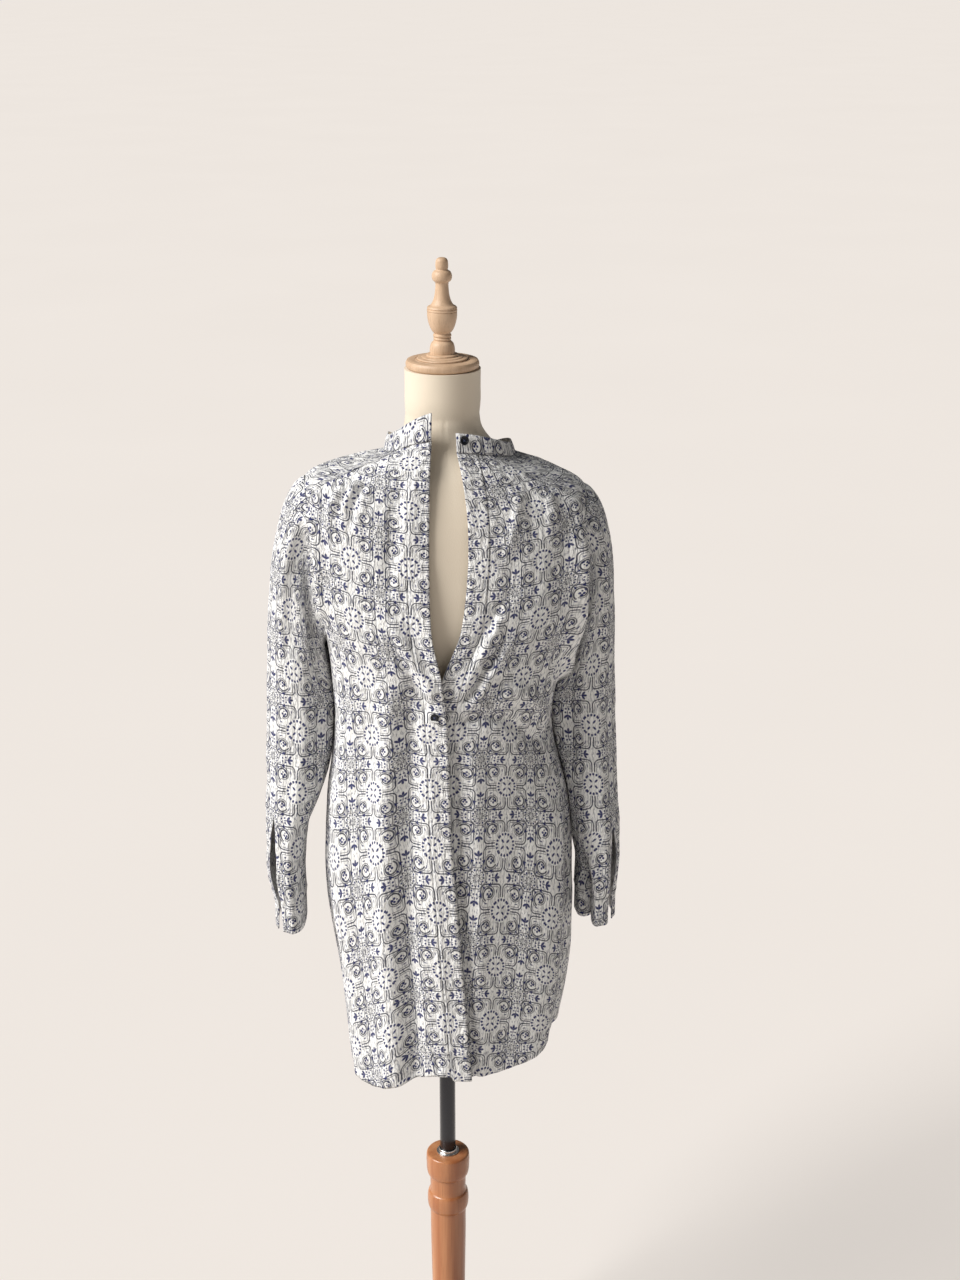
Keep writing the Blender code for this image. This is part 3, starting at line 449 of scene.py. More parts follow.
for name, profile, sides in (("post", POST_PROFILE, 96), ("base", BASE_PROFILE, 128)):
    piece = turned(name + "_turned", eased(profile), pine, sides)
    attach(piece, "root")
    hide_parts(name)

# ================================================================ the shirt's body
# Two fronts with folded bands, one back and a yoke over the shoulders, cut from light crinkled
# cotton, ecru with a navy print. It hangs on the form, one button closes the fronts, and the
# folds fall from the yoke, the bust and that button.

# The print: a ring of beads round four seeds, double lines between the rings, facing pairs of
# tulips, a star and comma curls. It is charted, and all its measures are parts of a repeat.
REPEAT_WIDE = 0.0765
REPEAT_HIGH = 0.0865
EDGE_SOFT = 0.008         # how soft the edge of the ink is
ECRU = (0.93, 0.925, 0.905, 1.0)
CURL_FILL = (0.94, 0.925, 0.88, 1.0)
LINE_INK = (0.016, 0.020, 0.050, 1.0)
NAVY_INK = (0.007, 0.014, 0.110, 1.0)
RING_RADIUS = 0.166
RING_BEADS = 18
WRONG_SIDE_SHOWS = 0.45   # how much of the print shows through on the cloth's back
PRINT_WANDER = (0.035, 0.035, 0.0)
PINS_A_REPEAT = 15        # the fine upright lines of the ground
GROUND_SHADE = (0.085, 0.097, 0.165, 1.0)
# painted shade: the cloth's colour is darkened along each seam and cut edge, standing for the shadow in
# the seam's ditch
SEAM_PAINTED_SHADE = (0.10, 0.11, 0.15, 1.0)
SEAM_PAINTED_SHADE_HALF = 0.0014
DITCH_HALF = 0.0012       # the hollow along a seam
STITCH_AT = 0.0055        # the line of stitches beside each seam and edge
STITCH_LENGTH = 0.0028
STITCH_HALF = 0.0007


def first_of(tree, vector):
    split = tree.nodes.new("ShaderNodeSeparateXYZ")
    tree.links.new(vector, split.inputs[0])
    return split.outputs[0]


def attribute_of(tree, name):
    node = tree.nodes.new("ShaderNodeAttribute")
    node.attribute_name = name
    return node.outputs["Fac"]


def chart_print(tree, calc, print_place):
    """At a place of the repeat: fine lines, navy ink, the curls' filling and the plain areas."""

    def ink(distance, reach):
        return calc("MULTIPLY_ADD", distance, -1 / EDGE_SOFT, reach / EDGE_SOFT + 0.5, clamp=True)

    def most(*inks):
        result = inks[0]
        for one in inks[1:]:
            result = calc("MAXIMUM", result, one)
        return result

    def length(a, b):
        return calc("SQRT", calc("MULTIPLY_ADD", a, a, calc("MULTIPLY", b, b)))

    def spot(a, b, at_a, at_b, radius):
        away = length(calc("SUBTRACT", a, at_a), calc("SUBTRACT", b, at_b))
        return ink(away, radius)

    def petal(a, b, at_a, at_b, turn, half_long, half_wide):
        """An oval at a place, its long side turned from the a axis by an angle."""
        da = calc("SUBTRACT", a, at_a)
        db = calc("SUBTRACT", b, at_b)
        c, s = math.cos(math.radians(turn)), math.sin(math.radians(turn))
        along = calc("MULTIPLY_ADD", da, c / half_long, calc("MULTIPLY", db, s / half_long))
        across = calc("MULTIPLY_ADD", da, -s / half_wide, calc("MULTIPLY", db, c / half_wide))
        inside = calc("MULTIPLY", calc("SUBTRACT", length(along, across), 1.0), half_wide)
        return ink(inside, 0.0)

    def line(distance, at, half):
        return ink(calc("ABSOLUTE", calc("SUBTRACT", distance, at)), half)

    split = tree.nodes.new("ShaderNodeSeparateXYZ")
    tree.links.new(print_place, split.inputs[0])
    across = calc("SUBTRACT", split.outputs[0], calc("ROUND", split.outputs[0]))
    upward = calc("SUBTRACT", split.outputs[1], calc("ROUND", split.outputs[1]))
    wide = calc("ABSOLUTE", across)
    high = calc("ABSOLUTE", upward)
    a = calc("MAXIMUM", wide, high)
    b = calc("MINIMUM", wide, high)

    # the ring of beads and its four seeds
    from_ring = length(a, b)
    turn = calc("ARCTAN2", b, a)
    step = calc("FRACT", calc("MULTIPLY_ADD", turn, RING_BEADS / (2 * math.pi), 0.5))
    bead_arc = 2 * math.pi * RING_RADIUS / RING_BEADS
    beside = calc("MULTIPLY_ADD", step, bead_arc, -0.5 * bead_arc)
    bead_out = calc("DIVIDE", calc("SUBTRACT", from_ring, RING_RADIUS), 0.0235)
    bead_side = calc("DIVIDE", beside, 0.0190)
    beads = ink(calc("MULTIPLY", calc("SUBTRACT", length(bead_out, bead_side), 1.0), 0.0190), 0.0)
    diagonal = calc("MULTIPLY", calc("ADD", a, b), 0.70711)
    off_diagonal = calc("MULTIPLY", calc("SUBTRACT", a, b), 0.70711)
    seeds = petal(diagonal, off_diagonal, 0.071, 0.0, 0.0, 0.036, 0.0170)

    # double lines that link the rings and turn along the tulips
    corner = 0.075
    middle, half = 0.214, 0.190
    qa = calc("SUBTRACT", calc("ABSOLUTE", calc("SUBTRACT", a, middle)), half - corner)
    qb = calc("SUBTRACT", calc("ABSOLUTE", calc("SUBTRACT", b, middle)), half - corner)
    outside = length(calc("MAXIMUM", qa, 0.0), calc("MAXIMUM", qb, 0.0))
    inner = calc("MINIMUM", calc("MAXIMUM", qa, qb), 0.0)
    frame_away = calc("SUBTRACT", calc("ADD", outside, inner), corner)
    clear_of_ring = calc("GREATER_THAN", from_ring, RING_RADIUS + 0.040)
    links = calc("MULTIPLY", line(frame_away, 0.0, 0.0100), clear_of_ring)
    second = calc("MULTIPLY", line(frame_away, -0.036, 0.0052), clear_of_ring)

    # the tulips, which face the middle between two rings, and the dots behind them
    beside_tulip = calc("SUBTRACT", 0.5, a)
    tulip_mid = petal(beside_tulip, b, 0.0, 0.105, 90.0, 0.038, 0.0205)
    tulip_side = petal(beside_tulip, b, 0.038, 0.130, -40.0, 0.040, 0.0200)
    tulip_cup = petal(beside_tulip, b, 0.0, 0.148, 0.0, 0.034, 0.0150)
    stem = calc("MULTIPLY", line(beside_tulip, 0.0, 0.0065),
                calc("LESS_THAN", calc("ABSOLUTE", calc("SUBTRACT", b, 0.190)), 0.030))
    dots = most(spot(beside_tulip, b, 0.040, 0.203, 0.0150),
                spot(beside_tulip, b, 0.026, 0.262, 0.0160),
                spot(beside_tulip, b, 0.082, 0.236, 0.0125),
                spot(beside_tulip, b, 0.066, 0.312, 0.0140))

    # the star
    star_a = calc("SUBTRACT", 0.5, b)
    from_star = length(beside_tulip, star_a)
    star_turn = calc("ARCTAN2", beside_tulip, star_a)
    lobe = calc("ABSOLUTE", calc("COSINE", calc("MULTIPLY", star_turn, 4.0)))
    star_line = line(calc("SUBTRACT", from_star, calc("MULTIPLY", lobe, 0.128)), 0.0, 0.0130)
    star_inner = line(calc("SUBTRACT", from_star, calc("MULTIPLY", lobe, 0.060)), 0.0, 0.0120)
    star_round = line(calc("MULTIPLY_ADD", lobe, 0.020, from_star), 0.175, 0.0080)
    star_dots = spot(calc("MULTIPLY", calc("SUBTRACT", star_turn, math.pi / 8), 0.125),
                     from_star, 0.0, 0.125, 0.0160)

    # the comma curl, which isn't mirrored
    same = calc("GREATER_THAN", calc("MULTIPLY", across, upward), 0.0)
    cx = calc("MULTIPLY_ADD", same, calc("SUBTRACT", wide, high), high)
    cy = calc("SUBTRACT", calc("ADD", wide, high), cx)
    dx = calc("SUBTRACT", cx, 0.262)
    dy = calc("SUBTRACT", cy, 0.250)
    from_curl = length(dx, dy)
    winding = calc("FRACT", calc("MULTIPLY_ADD", calc("ARCTAN2", dy, dx), 1 / (2 * math.pi), 0.57))
    rim = calc("MULTIPLY_ADD", winding, 0.062, 0.050)
    curl_line = ink(calc("ABSOLUTE", calc("SUBTRACT", from_curl, rim)), 0.0120)
    curl_echo = ink(calc("ABSOLUTE", calc("SUBTRACT", from_curl, calc("ADD", rim, 0.030))), 0.0075)
    curl_fill = ink(calc("SUBTRACT", from_curl, rim), 0.0)
    curl_flower = most(spot(dx, dy, -0.004, 0.026, 0.0200), spot(dx, dy, -0.034, -0.002, 0.0200),
                       spot(dx, dy, -0.006, -0.028, 0.0200), spot(dx, dy, 0.034, 0.002, 0.0130),
                       petal(dx, dy, 0.048, -0.036, 40.0, 0.030, 0.0110))
    leaves = most(petal(cx, cy, 0.392, 0.246, 62.0, 0.040, 0.0125),
                  petal(cx, cy, 0.250, 0.396, 18.0, 0.040, 0.0125),
                  petal(cx, cy, 0.356, 0.352, 45.0, 0.030, 0.0125),
                  petal(cx, cy, 0.120, 0.300, 80.0, 0.028, 0.0100),
                  petal(cx, cy, 0.300, 0.110, 8.0, 0.028, 0.0100))
    inside_ring = ink(from_ring, RING_RADIUS + 0.030)
    cell = ink(length(calc("MULTIPLY", beside_tulip, 0.95), calc("SUBTRACT", b, 0.105)), 0.085)
    in_frame = calc("MULTIPLY", ink(frame_away, -0.020), 0.45)
    plain = most(calc("MULTIPLY", inside_ring, 0.70), cell, in_frame,
                 calc("MULTIPLY", curl_fill, 0.75))

    faint = most(second, star_round, curl_echo)
    strong = most(links, star_line, star_inner, curl_line)
    lines = calc("MAXIMUM", strong, calc("MULTIPLY", faint, 0.85))
    navy = most(beads, seeds, tulip_mid, tulip_side, tulip_cup, stem, dots, star_dots,
                curl_flower, leaves)
    return lines, navy, curl_fill, plain


def printed_cotton(name, shows):
    """The cloth's material. Shows is 1 on its right side, and less where the ink comes through."""
    mat, tree, shader, calc = new_material(name)
    uv = tree.nodes.new("ShaderNodeUVMap")
    uv.uv_map = "print"
    place = tree.nodes.new("ShaderNodeTexCoord").outputs["Object"]
    wander = tree.nodes.new("ShaderNodeTexNoise")
    wander.inputs["Scale"].default_value = 2.2
    wander.inputs["Detail"].default_value = 1.0
    tree.links.new(uv.outputs[0], wander.inputs["Vector"])
    shift = tree.nodes.new("ShaderNodeVectorMath")
    shift.operation = "MULTIPLY_ADD"
    tree.links.new(wander.outputs["Color"], shift.inputs[0])
    shift.inputs[1].default_value = PRINT_WANDER
    tree.links.new(uv.outputs[0], shift.inputs[2])
    lines, navy, fill, plain = chart_print(tree, calc, shift.outputs[0])

    uneven = noise_of(tree, stretched(tree, uv.outputs[0], (34.0, 34.0, 1.0)), 1.0, 3.0, 0.65)
    strength = calc("MULTIPLY_ADD", uneven, 0.70, 0.62, clamp=True)
    lines = calc("MULTIPLY", calc("MULTIPLY", lines, strength), 0.95 * shows)
    navy = calc("MULTIPLY", calc("MULTIPLY", navy, strength), 0.97 * shows)

    threads = noise_of(tree, stretched(tree, uv.outputs[0], (38.0, 11.0, 1.0)), 1.0, 2.0, 0.6)
    specks = calc("MULTIPLY", calc("SUBTRACT", threads, 0.545), 7.5, clamp=True)
    bend = noise_of(tree, stretched(tree, uv.outputs[0], (7.0, 5.0, 1.0)), 1.0, 2.0, 0.5)
    pin = calc("MULTIPLY", first_of(tree, uv.outputs[0]), 2 * math.pi * PINS_A_REPEAT)
    pin = calc("SINE", calc("MULTIPLY_ADD", bend, 16.0, pin))
    pin = calc("MULTIPLY_ADD", pin, 2.6, -1.6, clamp=True)
    open_ground = calc("MULTIPLY_ADD", plain, -0.75, 1.0)
    tone = calc("MAXIMUM", calc("MULTIPLY", pin, 0.62), calc("MULTIPLY", specks, 0.85))
    tone = calc("MULTIPLY", tone, open_ground, clamp=True)
    ground = blend_colours(tree, tone, ECRU, GROUND_SHADE)
    colour = blend_colours(tree, calc("MULTIPLY", fill, 0.38 * shows), ground, CURL_FILL)
    colour = blend_colours(tree, lines, colour, LINE_INK)
    colour = blend_colours(tree, navy, colour, NAVY_INK)
    away = attribute_of(tree, "from_seam")
    # painted shade along the seams and edges, mixed into the print's colour
    seam_painted_shade = calc("MULTIPLY_ADD", away, -1 / SEAM_PAINTED_SHADE_HALF, 1.0, clamp=True)
    colour = blend_colours(tree, calc("MULTIPLY", seam_painted_shade, 0.30), colour, SEAM_PAINTED_SHADE)
    tree.links.new(colour, shader.inputs["Base Color"])
    shader.inputs["Roughness"].default_value = 0.88
    shader.inputs["Specular IOR Level"].default_value = 0.12

    crinkle = noise_of(tree, stretched(tree, uv.outputs[0], (11.0, 4.2, 1.0)), 1.0, 4.0, 0.62)
    weave = noise_of(tree, place, 1400.0, 1.0)
    along = attribute_of(tree, "along_seam")
    dash = calc("SINE", calc("MULTIPLY", along, 2 * math.pi / STITCH_LENGTH))
    dash = calc("MULTIPLY_ADD", dash, 0.35, 0.65)
    thread_line = calc("MULTIPLY_ADD", calc("ABSOLUTE", calc("SUBTRACT", away, STITCH_AT)),
                       -1 / STITCH_HALF, 1.0, clamp=True)
    ditch = calc("MULTIPLY_ADD", away, -1 / DITCH_HALF, 1.0, clamp=True)
    sunk = calc("MAXIMUM", calc("MULTIPLY", thread_line, dash), ditch)
    fine = noise_of(tree, stretched(tree, uv.outputs[0], (42.0, 7.5, 1.0)), 1.0, 2.0, 0.5)
    normal = bump_of(tree, crinkle, 0.0090, 0.85)
    normal = bump_of(tree, fine, 0.0022, 0.6, normal)
    normal = bump_of(tree, weave, 0.0002, 0.35, normal)
    normal = bump_of(tree, calc("SUBTRACT", 1.0, sunk), 0.0003, 0.45, normal)
    tree.links.new(normal, shader.inputs["Normal"])
    return mat


printed = printed_cotton("printed cotton", 1.0)
wrong_side = printed_cotton("printed cotton wrong side", WRONG_SIDE_SHOWS)

# The levels of the body surface. Each panel is a patch of it between its seams.
BODY = (
    # neckline
    (1.490, 1.473, 1.458, 1.452, 1.420, 0.074, 0.091, 0.077, 0.085, 2.0),
    # middle of the shoulder
    (1.449, 1.436, 1.447, 1.437, 1.397, 0.128, 0.135, 0.096, 0.097, 2.1),
    # shoulder tip
    (1.394, 1.385, 1.423, 1.406, 1.367, 0.179, 0.185, 0.109, 0.105, 2.2),
    # upper chest
    (1.330, 1.328, 1.364, 1.352, 1.320, 0.184, 0.190, 0.118, 0.112, 2.3),
    # bust
    (1.250, 1.250, 1.280, 1.272, 1.255, 0.175, 0.186, 0.127, 0.113, 2.4),
    # underarm
    (1.180, 1.180, 1.200, 1.192, 1.185, 0.155, 0.161, 0.128, 0.109, 2.35),
    # waist
    (1.085, 1.085, 1.085, 1.085, 1.085, 0.148, 0.144, 0.125, 0.104, 2.25),
    # high hip
    (0.965, 0.965, 0.965, 0.965, 0.965, 0.162, 0.169, 0.125, 0.110, 2.2),
    # hip
    (0.840, 0.840, 0.840, 0.840, 0.840, 0.165, 0.176, 0.126, 0.116, 2.2),
    # tail
    (0.715, 0.715, 0.710, 0.725, 0.705, 0.150, 0.174, 0.124, 0.117, 2.2),
    # hem
    (0.600, 0.592, 0.562, 0.628, 0.556, 0.138, 0.160, 0.118, 0.112, 2.2),
)
TAIL, HEM = range(len(BODY))[-2:]
# At each level: x of each front's edge and of the under front's grain line, the print's row, and
# how many rows it drops toward the side.
UPPER_EDGE = (-0.018, -0.021, -0.023, -0.024, -0.022, -0.009, -0.002, 0.001, 0.009, 0.018, 0.027)
UNDER_EDGE = (0.013, 0.020, 0.025, 0.024, 0.014, -0.012, -0.026, -0.024, -0.016, -0.007, 0.002)
UNDER_GRAIN = (0.068, 0.093, 0.116, 0.122, 0.117, 0.096, 0.079, 0.076, 0.068, 0.058, 0.047)
PRINT_ROW = (8.55, 7.70, 6.83, 5.93, 4.84, 3.88, 2.58, 1.10, -0.22, -1.70, -3.03)
PRINT_DROP = (0.0, 0.0, 0.0, 0.05, 0.08, 0.12, 0.17, 0.20, 0.26, 0.34, 0.20)
DROP_FULL_ANGLE = 38.0    # degrees from the front middle, where that drop is whole
UPPER_GRAIN_IN = 0.024    # the upper front's grain line lies this far in from its edge
FRONT_BAND_WIDTH = 0.027
LAP_LIFT = 0.0085         # the upper front stands off the body surface by this, near its edge
LAP_REACH = 0.036
LAP_START_LEVEL = 3.0
LAP_FULL_AFTER = 1.5      # levels
LAP_CURVE = 1.35
LAP_WAY = (0.5, 1.0, 0.0)
CLOTH = 0.0007
BAND = 0.0013
HEM_WAVES = (
    # angle, half width in degrees, drop
    (-42, 24, 0.020),
    (30, 20, 0.006),
    (205, 30, 0.008),
)
# Folds: a line of (angle, level) places, half width, rise (negative for a trough), and the
# shares of its length over which it fades in and out.
FOLDS = (
    # gathers below the wearer's right yoke seam
    (((-42.6, 1.30), (-40.0, 1.85), (-37.5, 2.50)), 0.0050, -0.0060, 0.06, 0.55),
    (((-48.8, 1.50), (-46.8, 1.90), (-46.2, 2.60)), 0.0050, -0.0058, 0.06, 0.55),
    (((-53.8, 1.70), (-54.8, 2.10), (-56.0, 2.75)), 0.0045, -0.0030, 0.08, 0.60),
    (((-45.6, 1.38), (-43.4, 2.00), (-41.5, 3.00)), 0.0055, 0.0050, 0.10, 0.70),
    (((-51.2, 1.60), (-50.6, 2.20), (-51.0, 3.10)), 0.0055, 0.0040, 0.10, 0.70),
    (((-39.0, 1.25), (-35.5, 1.90), (-33.0, 3.20)), 0.0070, 0.0034, 0.15, 0.70),
    # soft trough beside the wearer's right band, and one nearer the neck
    (((-25.0, 0.60), (-21.5, 1.60), (-18.8, 2.30), (-21.0, 3.20), (-24.5, 4.00)),
     0.0105, -0.0045, 0.25, 0.40),
    (((-17.0, 0.90), (-13.0, 2.00), (-11.5, 3.40)), 0.0100, 0.0026, 0.30, 0.50),
    # drag lines up from the button over the wearer's right bust
    (((-4.5, 5.25), (-11.9, 4.55), (-18.8, 3.97), (-24.5, 3.45)), 0.0080, 0.0068, 0.10, 0.45),
    (((-6.5, 5.55), (-13.8, 5.05), (-19.5, 4.44), (-24.5, 3.85)), 0.0080, -0.0072, 0.12, 0.45),
    (((-5.0, 4.95), (-11.0, 4.10), (-15.5, 3.45)), 0.0060, -0.0026, 0.20, 0.60),
    # the long fold down the wearer's right front, its shaded face toward the band
    (((-15.0, 4.80), (-19.0, 5.60), (-19.6, 6.40), (-18.6, 7.20), (-19.0, 8.40), (-21.0, 11.0)),
     0.0135, -0.0115, 0.16, 0.0),
    (((-25.0, 4.60), (-28.0, 5.60), (-30.0, 6.60), (-29.0, 7.40), (-31.0, 8.60), (-36.0, 11.0)),
     0.0170, 0.0085, 0.20, 0.0),
    (((-44.0, 5.40), (-47.0, 7.00), (-50.0, 11.0)), 0.0200, -0.0030, 0.30, 0.0),
    (((-60.0, 5.20), (-64.0, 7.00), (-66.0, 11.0)), 0.0200, 0.0045, 0.30, 0.0),
    (((-78.0, 7.50), (-79.0, 9.00), (-80.0, 11.0)), 0.0180, -0.0030, 0.40, 0.0),
    (((-8.5, 5.70), (-7.5, 7.00), (-4.5, 8.50), (-1.0, 11.0)), 0.0120, 0.0040, 0.20, 0.0),
    # soft folds below the wearer's left yoke seam
    (((32.0, 1.35), (23.5, 2.15), (18.5, 3.10)), 0.0075, 0.0044, 0.12, 0.55),
    (((48.0, 1.55), (43.0, 2.10), (39.5, 3.00)), 0.0075, 0.0040, 0.10, 0.60),
    (((38.5, 1.40), (32.5, 2.10), (28.5, 3.10)), 0.0075, -0.0032, 0.12, 0.60),
    (((53.5, 1.65), (50.0, 2.30), (48.0, 3.10)), 0.0070, -0.0032, 0.12, 0.60),
    (((62.0, 1.80), (60.0, 2.60), (58.0, 3.60)), 0.0090, 0.0030, 0.20, 0.60),
    # the fronts stand out a little beside the armholes, over the sleeves
    (((56.0, 2.30), (59.0, 3.10), (62.5, 3.95), (69.0, 4.70), (77.0, 5.20), (83.0, 5.42)),
     0.0150, 0.0170, 0.25, 0.18),
    (((50.0, 6.05), (66.0, 6.02), (84.0, 5.98)), 0.0100, -0.0050, 0.30, 0.30),
    (((-68.0, 2.42), (-62.5, 2.80), (-60.0, 3.45), (-62.5, 4.10), (-70.0, 4.60)),
     0.0100, 0.0080, 0.10, 0.35),
    # drag lines up from the button over the wearer's left bust
    (((3.0, 5.30), (8.0, 4.67), (14.3, 3.97), (21.5, 3.35)), 0.0084, 0.0048, 0.10, 0.40),
    (((4.8, 4.75), (9.0, 4.10), (16.0, 3.60), (26.5, 3.25)), 0.0062, -0.0042, 0.15, 0.40),
    (((4.2, 5.32), (10.5, 4.90), (15.9, 4.44), (21.0, 3.95)), 0.0058, -0.0070, 0.10, 0.40),
    (((6.3, 5.36), (12.5, 5.05), (18.0, 4.55), (24.0, 3.90)), 0.0066, 0.0060, 0.10, 0.40),
    (((13.0, 5.36), (20.0, 5.12), (28.0, 4.60)), 0.0060, -0.0034, 0.15, 0.60),
    # the overhang of the bust and the shaded hollow under it
    (((16.0, 5.22), (28.0, 5.18), (40.0, 5.36), (54.0, 5.62), (68.0, 6.02)),
     0.0120, 0.0062, 0.20, 0.30),
    (((2.5, 5.60), (12.3, 5.52), (25.7, 5.60), (37.0, 5.78), (51.4, 6.04), (66.0, 6.44)),
     0.0085, -0.0080, 0.06, 0.30),
    # the wearer's left front below it
    (((8.3, 5.80), (10.6, 6.20), (10.6, 6.95), (10.9, 7.75), (10.8, 8.65), (10.6, 9.80)),
     0.0110, 0.0036, 0.12, 0.35),
    (((1.2, 5.70), (2.2, 7.00), (4.0, 8.00), (6.7, 9.00), (10.2, 10.0)),
     0.0060, -0.0060, 0.12, 0.0),
    (((38.0, 6.10), (28.0, 7.20), (24.6, 8.40), (24.0, 11.0)), 0.0260, -0.0050, 0.15, 0.0),
    (((58.0, 6.50), (50.0, 8.00), (46.0, 11.0)), 0.0220, 0.0075, 0.20, 0.0),
    (((76.0, 6.60), (72.0, 8.50), (68.0, 11.0)), 0.0180, -0.0065, 0.20, 0.0),
    # the back
    (((152.0, 2.90), (149.0, 6.00), (146.0, 11.0)), 0.0210, 0.0085, 0.12, 0.0),
    (((171.0, 2.85), (172.0, 6.00), (173.0, 11.0)), 0.0220, -0.0080, 0.12, 0.0),
    (((194.0, 2.90), (196.0, 6.00), (198.0, 11.0)), 0.0200, 0.0090, 0.12, 0.0),
    (((213.0, 3.10), (217.0, 6.50), (220.0, 11.0)), 0.0200, -0.0070, 0.15, 0.0),
    (((236.0, 3.80), (240.0, 7.00), (242.0, 11.0)), 0.0200, 0.0075, 0.20, 0.0),
    (((128.0, 3.60), (123.0, 7.00), (120.0, 11.0)), 0.0200, -0.0075, 0.20, 0.0),
    (((106.0, 5.60), (104.0, 8.00), (102.0, 11.0)), 0.0170, 0.0050, 0.25, 0.0),
    (((184.0, 2.80), (184.5, 3.40), (185.0, 4.60)), 0.0090, 0.0035, 0.10, 0.70),
    (((160.0, 2.85), (159.0, 3.40), (158.0, 4.40)), 0.0080, -0.0030, 0.10, 0.70),
)
CRINKLE_RISE = 0.0015
CRINKLE_ANGLE = 0.17      # its waves a degree and a level
CRINKLE_LEVEL = 2.1
ARMHOLE_LEVEL = 3.45
ARMHOLE_HALF_LEVELS = 1.50
ARMHOLE_HALF_ANGLE = 29.0
SIDE_SEAM_ANGLE = 90.0
BACK_MIDDLE = 180.0
YOKE_ARM_THETA = 45.0
YOKE_FRONT_LEFT = 52.0
YOKE_FRONT_RIGHT = 40.0
YOKE_FRONT_BOW = 0.10
YOKE_BACK_LEVEL = 2.75
EDGE_FADE = 4             # the power by which the bend of a panel's edge fades over it
NECK_COLUMNS = 32
YOKE_ROWS = 40
BACK_COLUMNS = 116
BAND_COLUMNS = 9
PANEL_ARM = 62
YOKE_ARM = 36
SIDE_ROWS = 168


def at_level(values, level):
    """A value given at each level of the body, read between them."""
    table = [(value,) * len(BODY_COLUMNS) for value in values]
    return read_table(table, "left", np.asarray(level, float))


def crinkled(angle, level):
    """Small uneven waves all over the cloth, the same on every run."""
    flat = [noise.noise(Vector((a * CRINKLE_ANGLE, l * CRINKLE_LEVEL, 3.7)))
            for a, l in zip(np.ravel(angle), np.ravel(level))]
    return np.reshape(flat, np.shape(angle)) * CRINKLE_RISE


def line_height(point, knots, width, fade_in, fade_out):
    """The share of its full height that a fold along a line has at points near it."""
    best = np.full(point.shape[:-1], 1e9)
    along = np.zeros(point.shape[:-1])
    count = len(knots) - 1
    for i in range(count):
        way = knots[i + 1] - knots[i]
        share = np.clip(((point - knots[i]) @ way) / (way @ way), 0.0, 1.0)
        away = np.linalg.norm(point - knots[i] - share[..., None] * way, axis=-1)
        nearer = away < best
        best = np.where(nearer, away, best)
        along = np.where(nearer, (i + share) / count, along)
    window = smooth_step(along / fade_in) if fade_in else 1.0
    if fade_out:
        window = window * smooth_step((1 - along) / fade_out)
    return window * np.exp(-(best / width) ** 2)


def knots_of(line, steps=5):
    """The 3-D places of a fold's line, with steps between the places given."""
    line = np.array(line, float)
    ends = np.arange(len(line))
    fine = np.linspace(0, len(line) - 1, (len(line) - 1) * steps + 1)
    return ring_point(BODY, np.interp(fine, ends, line[:, 0]), np.interp(fine, ends, line[:, 1]))


def turned_from(angle, middle):
    """How far an angle lies from a middle one, the short way round."""
    return (angle - middle + 180.0) % 360.0 - 180.0


def plain_body(angle, level):
    """The body surface with its hem's waves and no folds."""
    point = ring_point(BODY, angle, level)
    for middle, spread, drop in HEM_WAVES:
        near = np.exp(-(turned_from(angle, middle) / spread) ** 2)
        point[..., 2] -= drop * near * smooth_step(level - TAIL)
    return point


FOLD_KNOTS = [knots_of(fold[0]) for fold in FOLDS]


def body_point(angle, level):
    angle, level = np.broadcast_arrays(np.asarray(angle, float), np.asarray(level, float))
    point = plain_body(angle, level)
    height = crinkled(angle, level)
    for (_, width, rise, fade_in, fade_out), knots in zip(FOLDS, FOLD_KNOTS):
        height = height + rise * line_height(point, knots, width, fade_in, fade_out)
    return point + surface_normal(BODY, angle, level) * height[..., None]


def angle_at_x(level, x):
    """The angle near the front middle at which the body surface has this x."""
    half = np.where(x > 0, read_table(BODY, "right", level), read_table(BODY, "left", level))
    power = read_table(BODY, "square", level) / 2.0
    return np.sign(x) * np.degrees(np.arcsin(np.clip(np.abs(x) / half, 0, 1) ** power))


def edge_angle(side, level, inward=0.0):
    """The angle of a front's edge, moved toward its own side by a width."""
    level = np.asarray(level, float)
    return angle_at_x(level, at_level(UPPER_EDGE if side < 0 else UNDER_EDGE, level) + side * inward)


def armhole_place(side, theta):
    """(angle, level) on the armhole. Theta is 0 at the tip, 90 in front, 180 under the arm."""
    turn = np.radians(theta)
    angle = SIDE_SEAM_ANGLE - ARMHOLE_HALF_ANGLE * np.sin(turn)
    return side * angle, ARMHOLE_LEVEL - ARMHOLE_HALF_LEVELS * np.cos(turn)


def armhole_arc(side, theta_from, theta_to, count):
    return np.stack(armhole_place(side, np.linspace(theta_from, theta_to, count + 1)), axis=-1)


def spaced(line, count):
    """Count + 1 places evenly spaced by real length along a line of places."""
    s = np.linspace(0.0, 1.0, 400)
    angle, level = np.broadcast_arrays(*line(s))
    points = plain_body(angle, level)
    run = np.concatenate(([0.0], np.cumsum(np.linalg.norm(np.diff(points, axis=0), axis=-1))))
    target = np.linspace(0.0, run[-1], count + 1)
    return np.stack((np.interp(target, run, angle), np.interp(target, run, level)), axis=-1)


def mix(a, b, part):
    return a + (b - a) * part


def patch(top, bottom, start, end):
    """Places between four edges. Rows run straight, and the top's and bottom's bends fade out."""
    u = np.linspace(0.0, 1.0, len(top))[None, :, None]
    s = np.linspace(0.0, 1.0, len(start))[:, None, None]
    bend_top = top[None] - mix(top[0], top[-1], u)
    bend_bottom = bottom[None] - mix(bottom[0], bottom[-1], u)
    straight = mix(start[:, None], end[:, None], u)
    return straight + (1 - s) ** EDGE_FADE * bend_top + s ** EDGE_FADE * bend_bottom


def yoke_angle(side):
    return side * (YOKE_FRONT_RIGHT if side > 0 else YOKE_FRONT_LEFT)


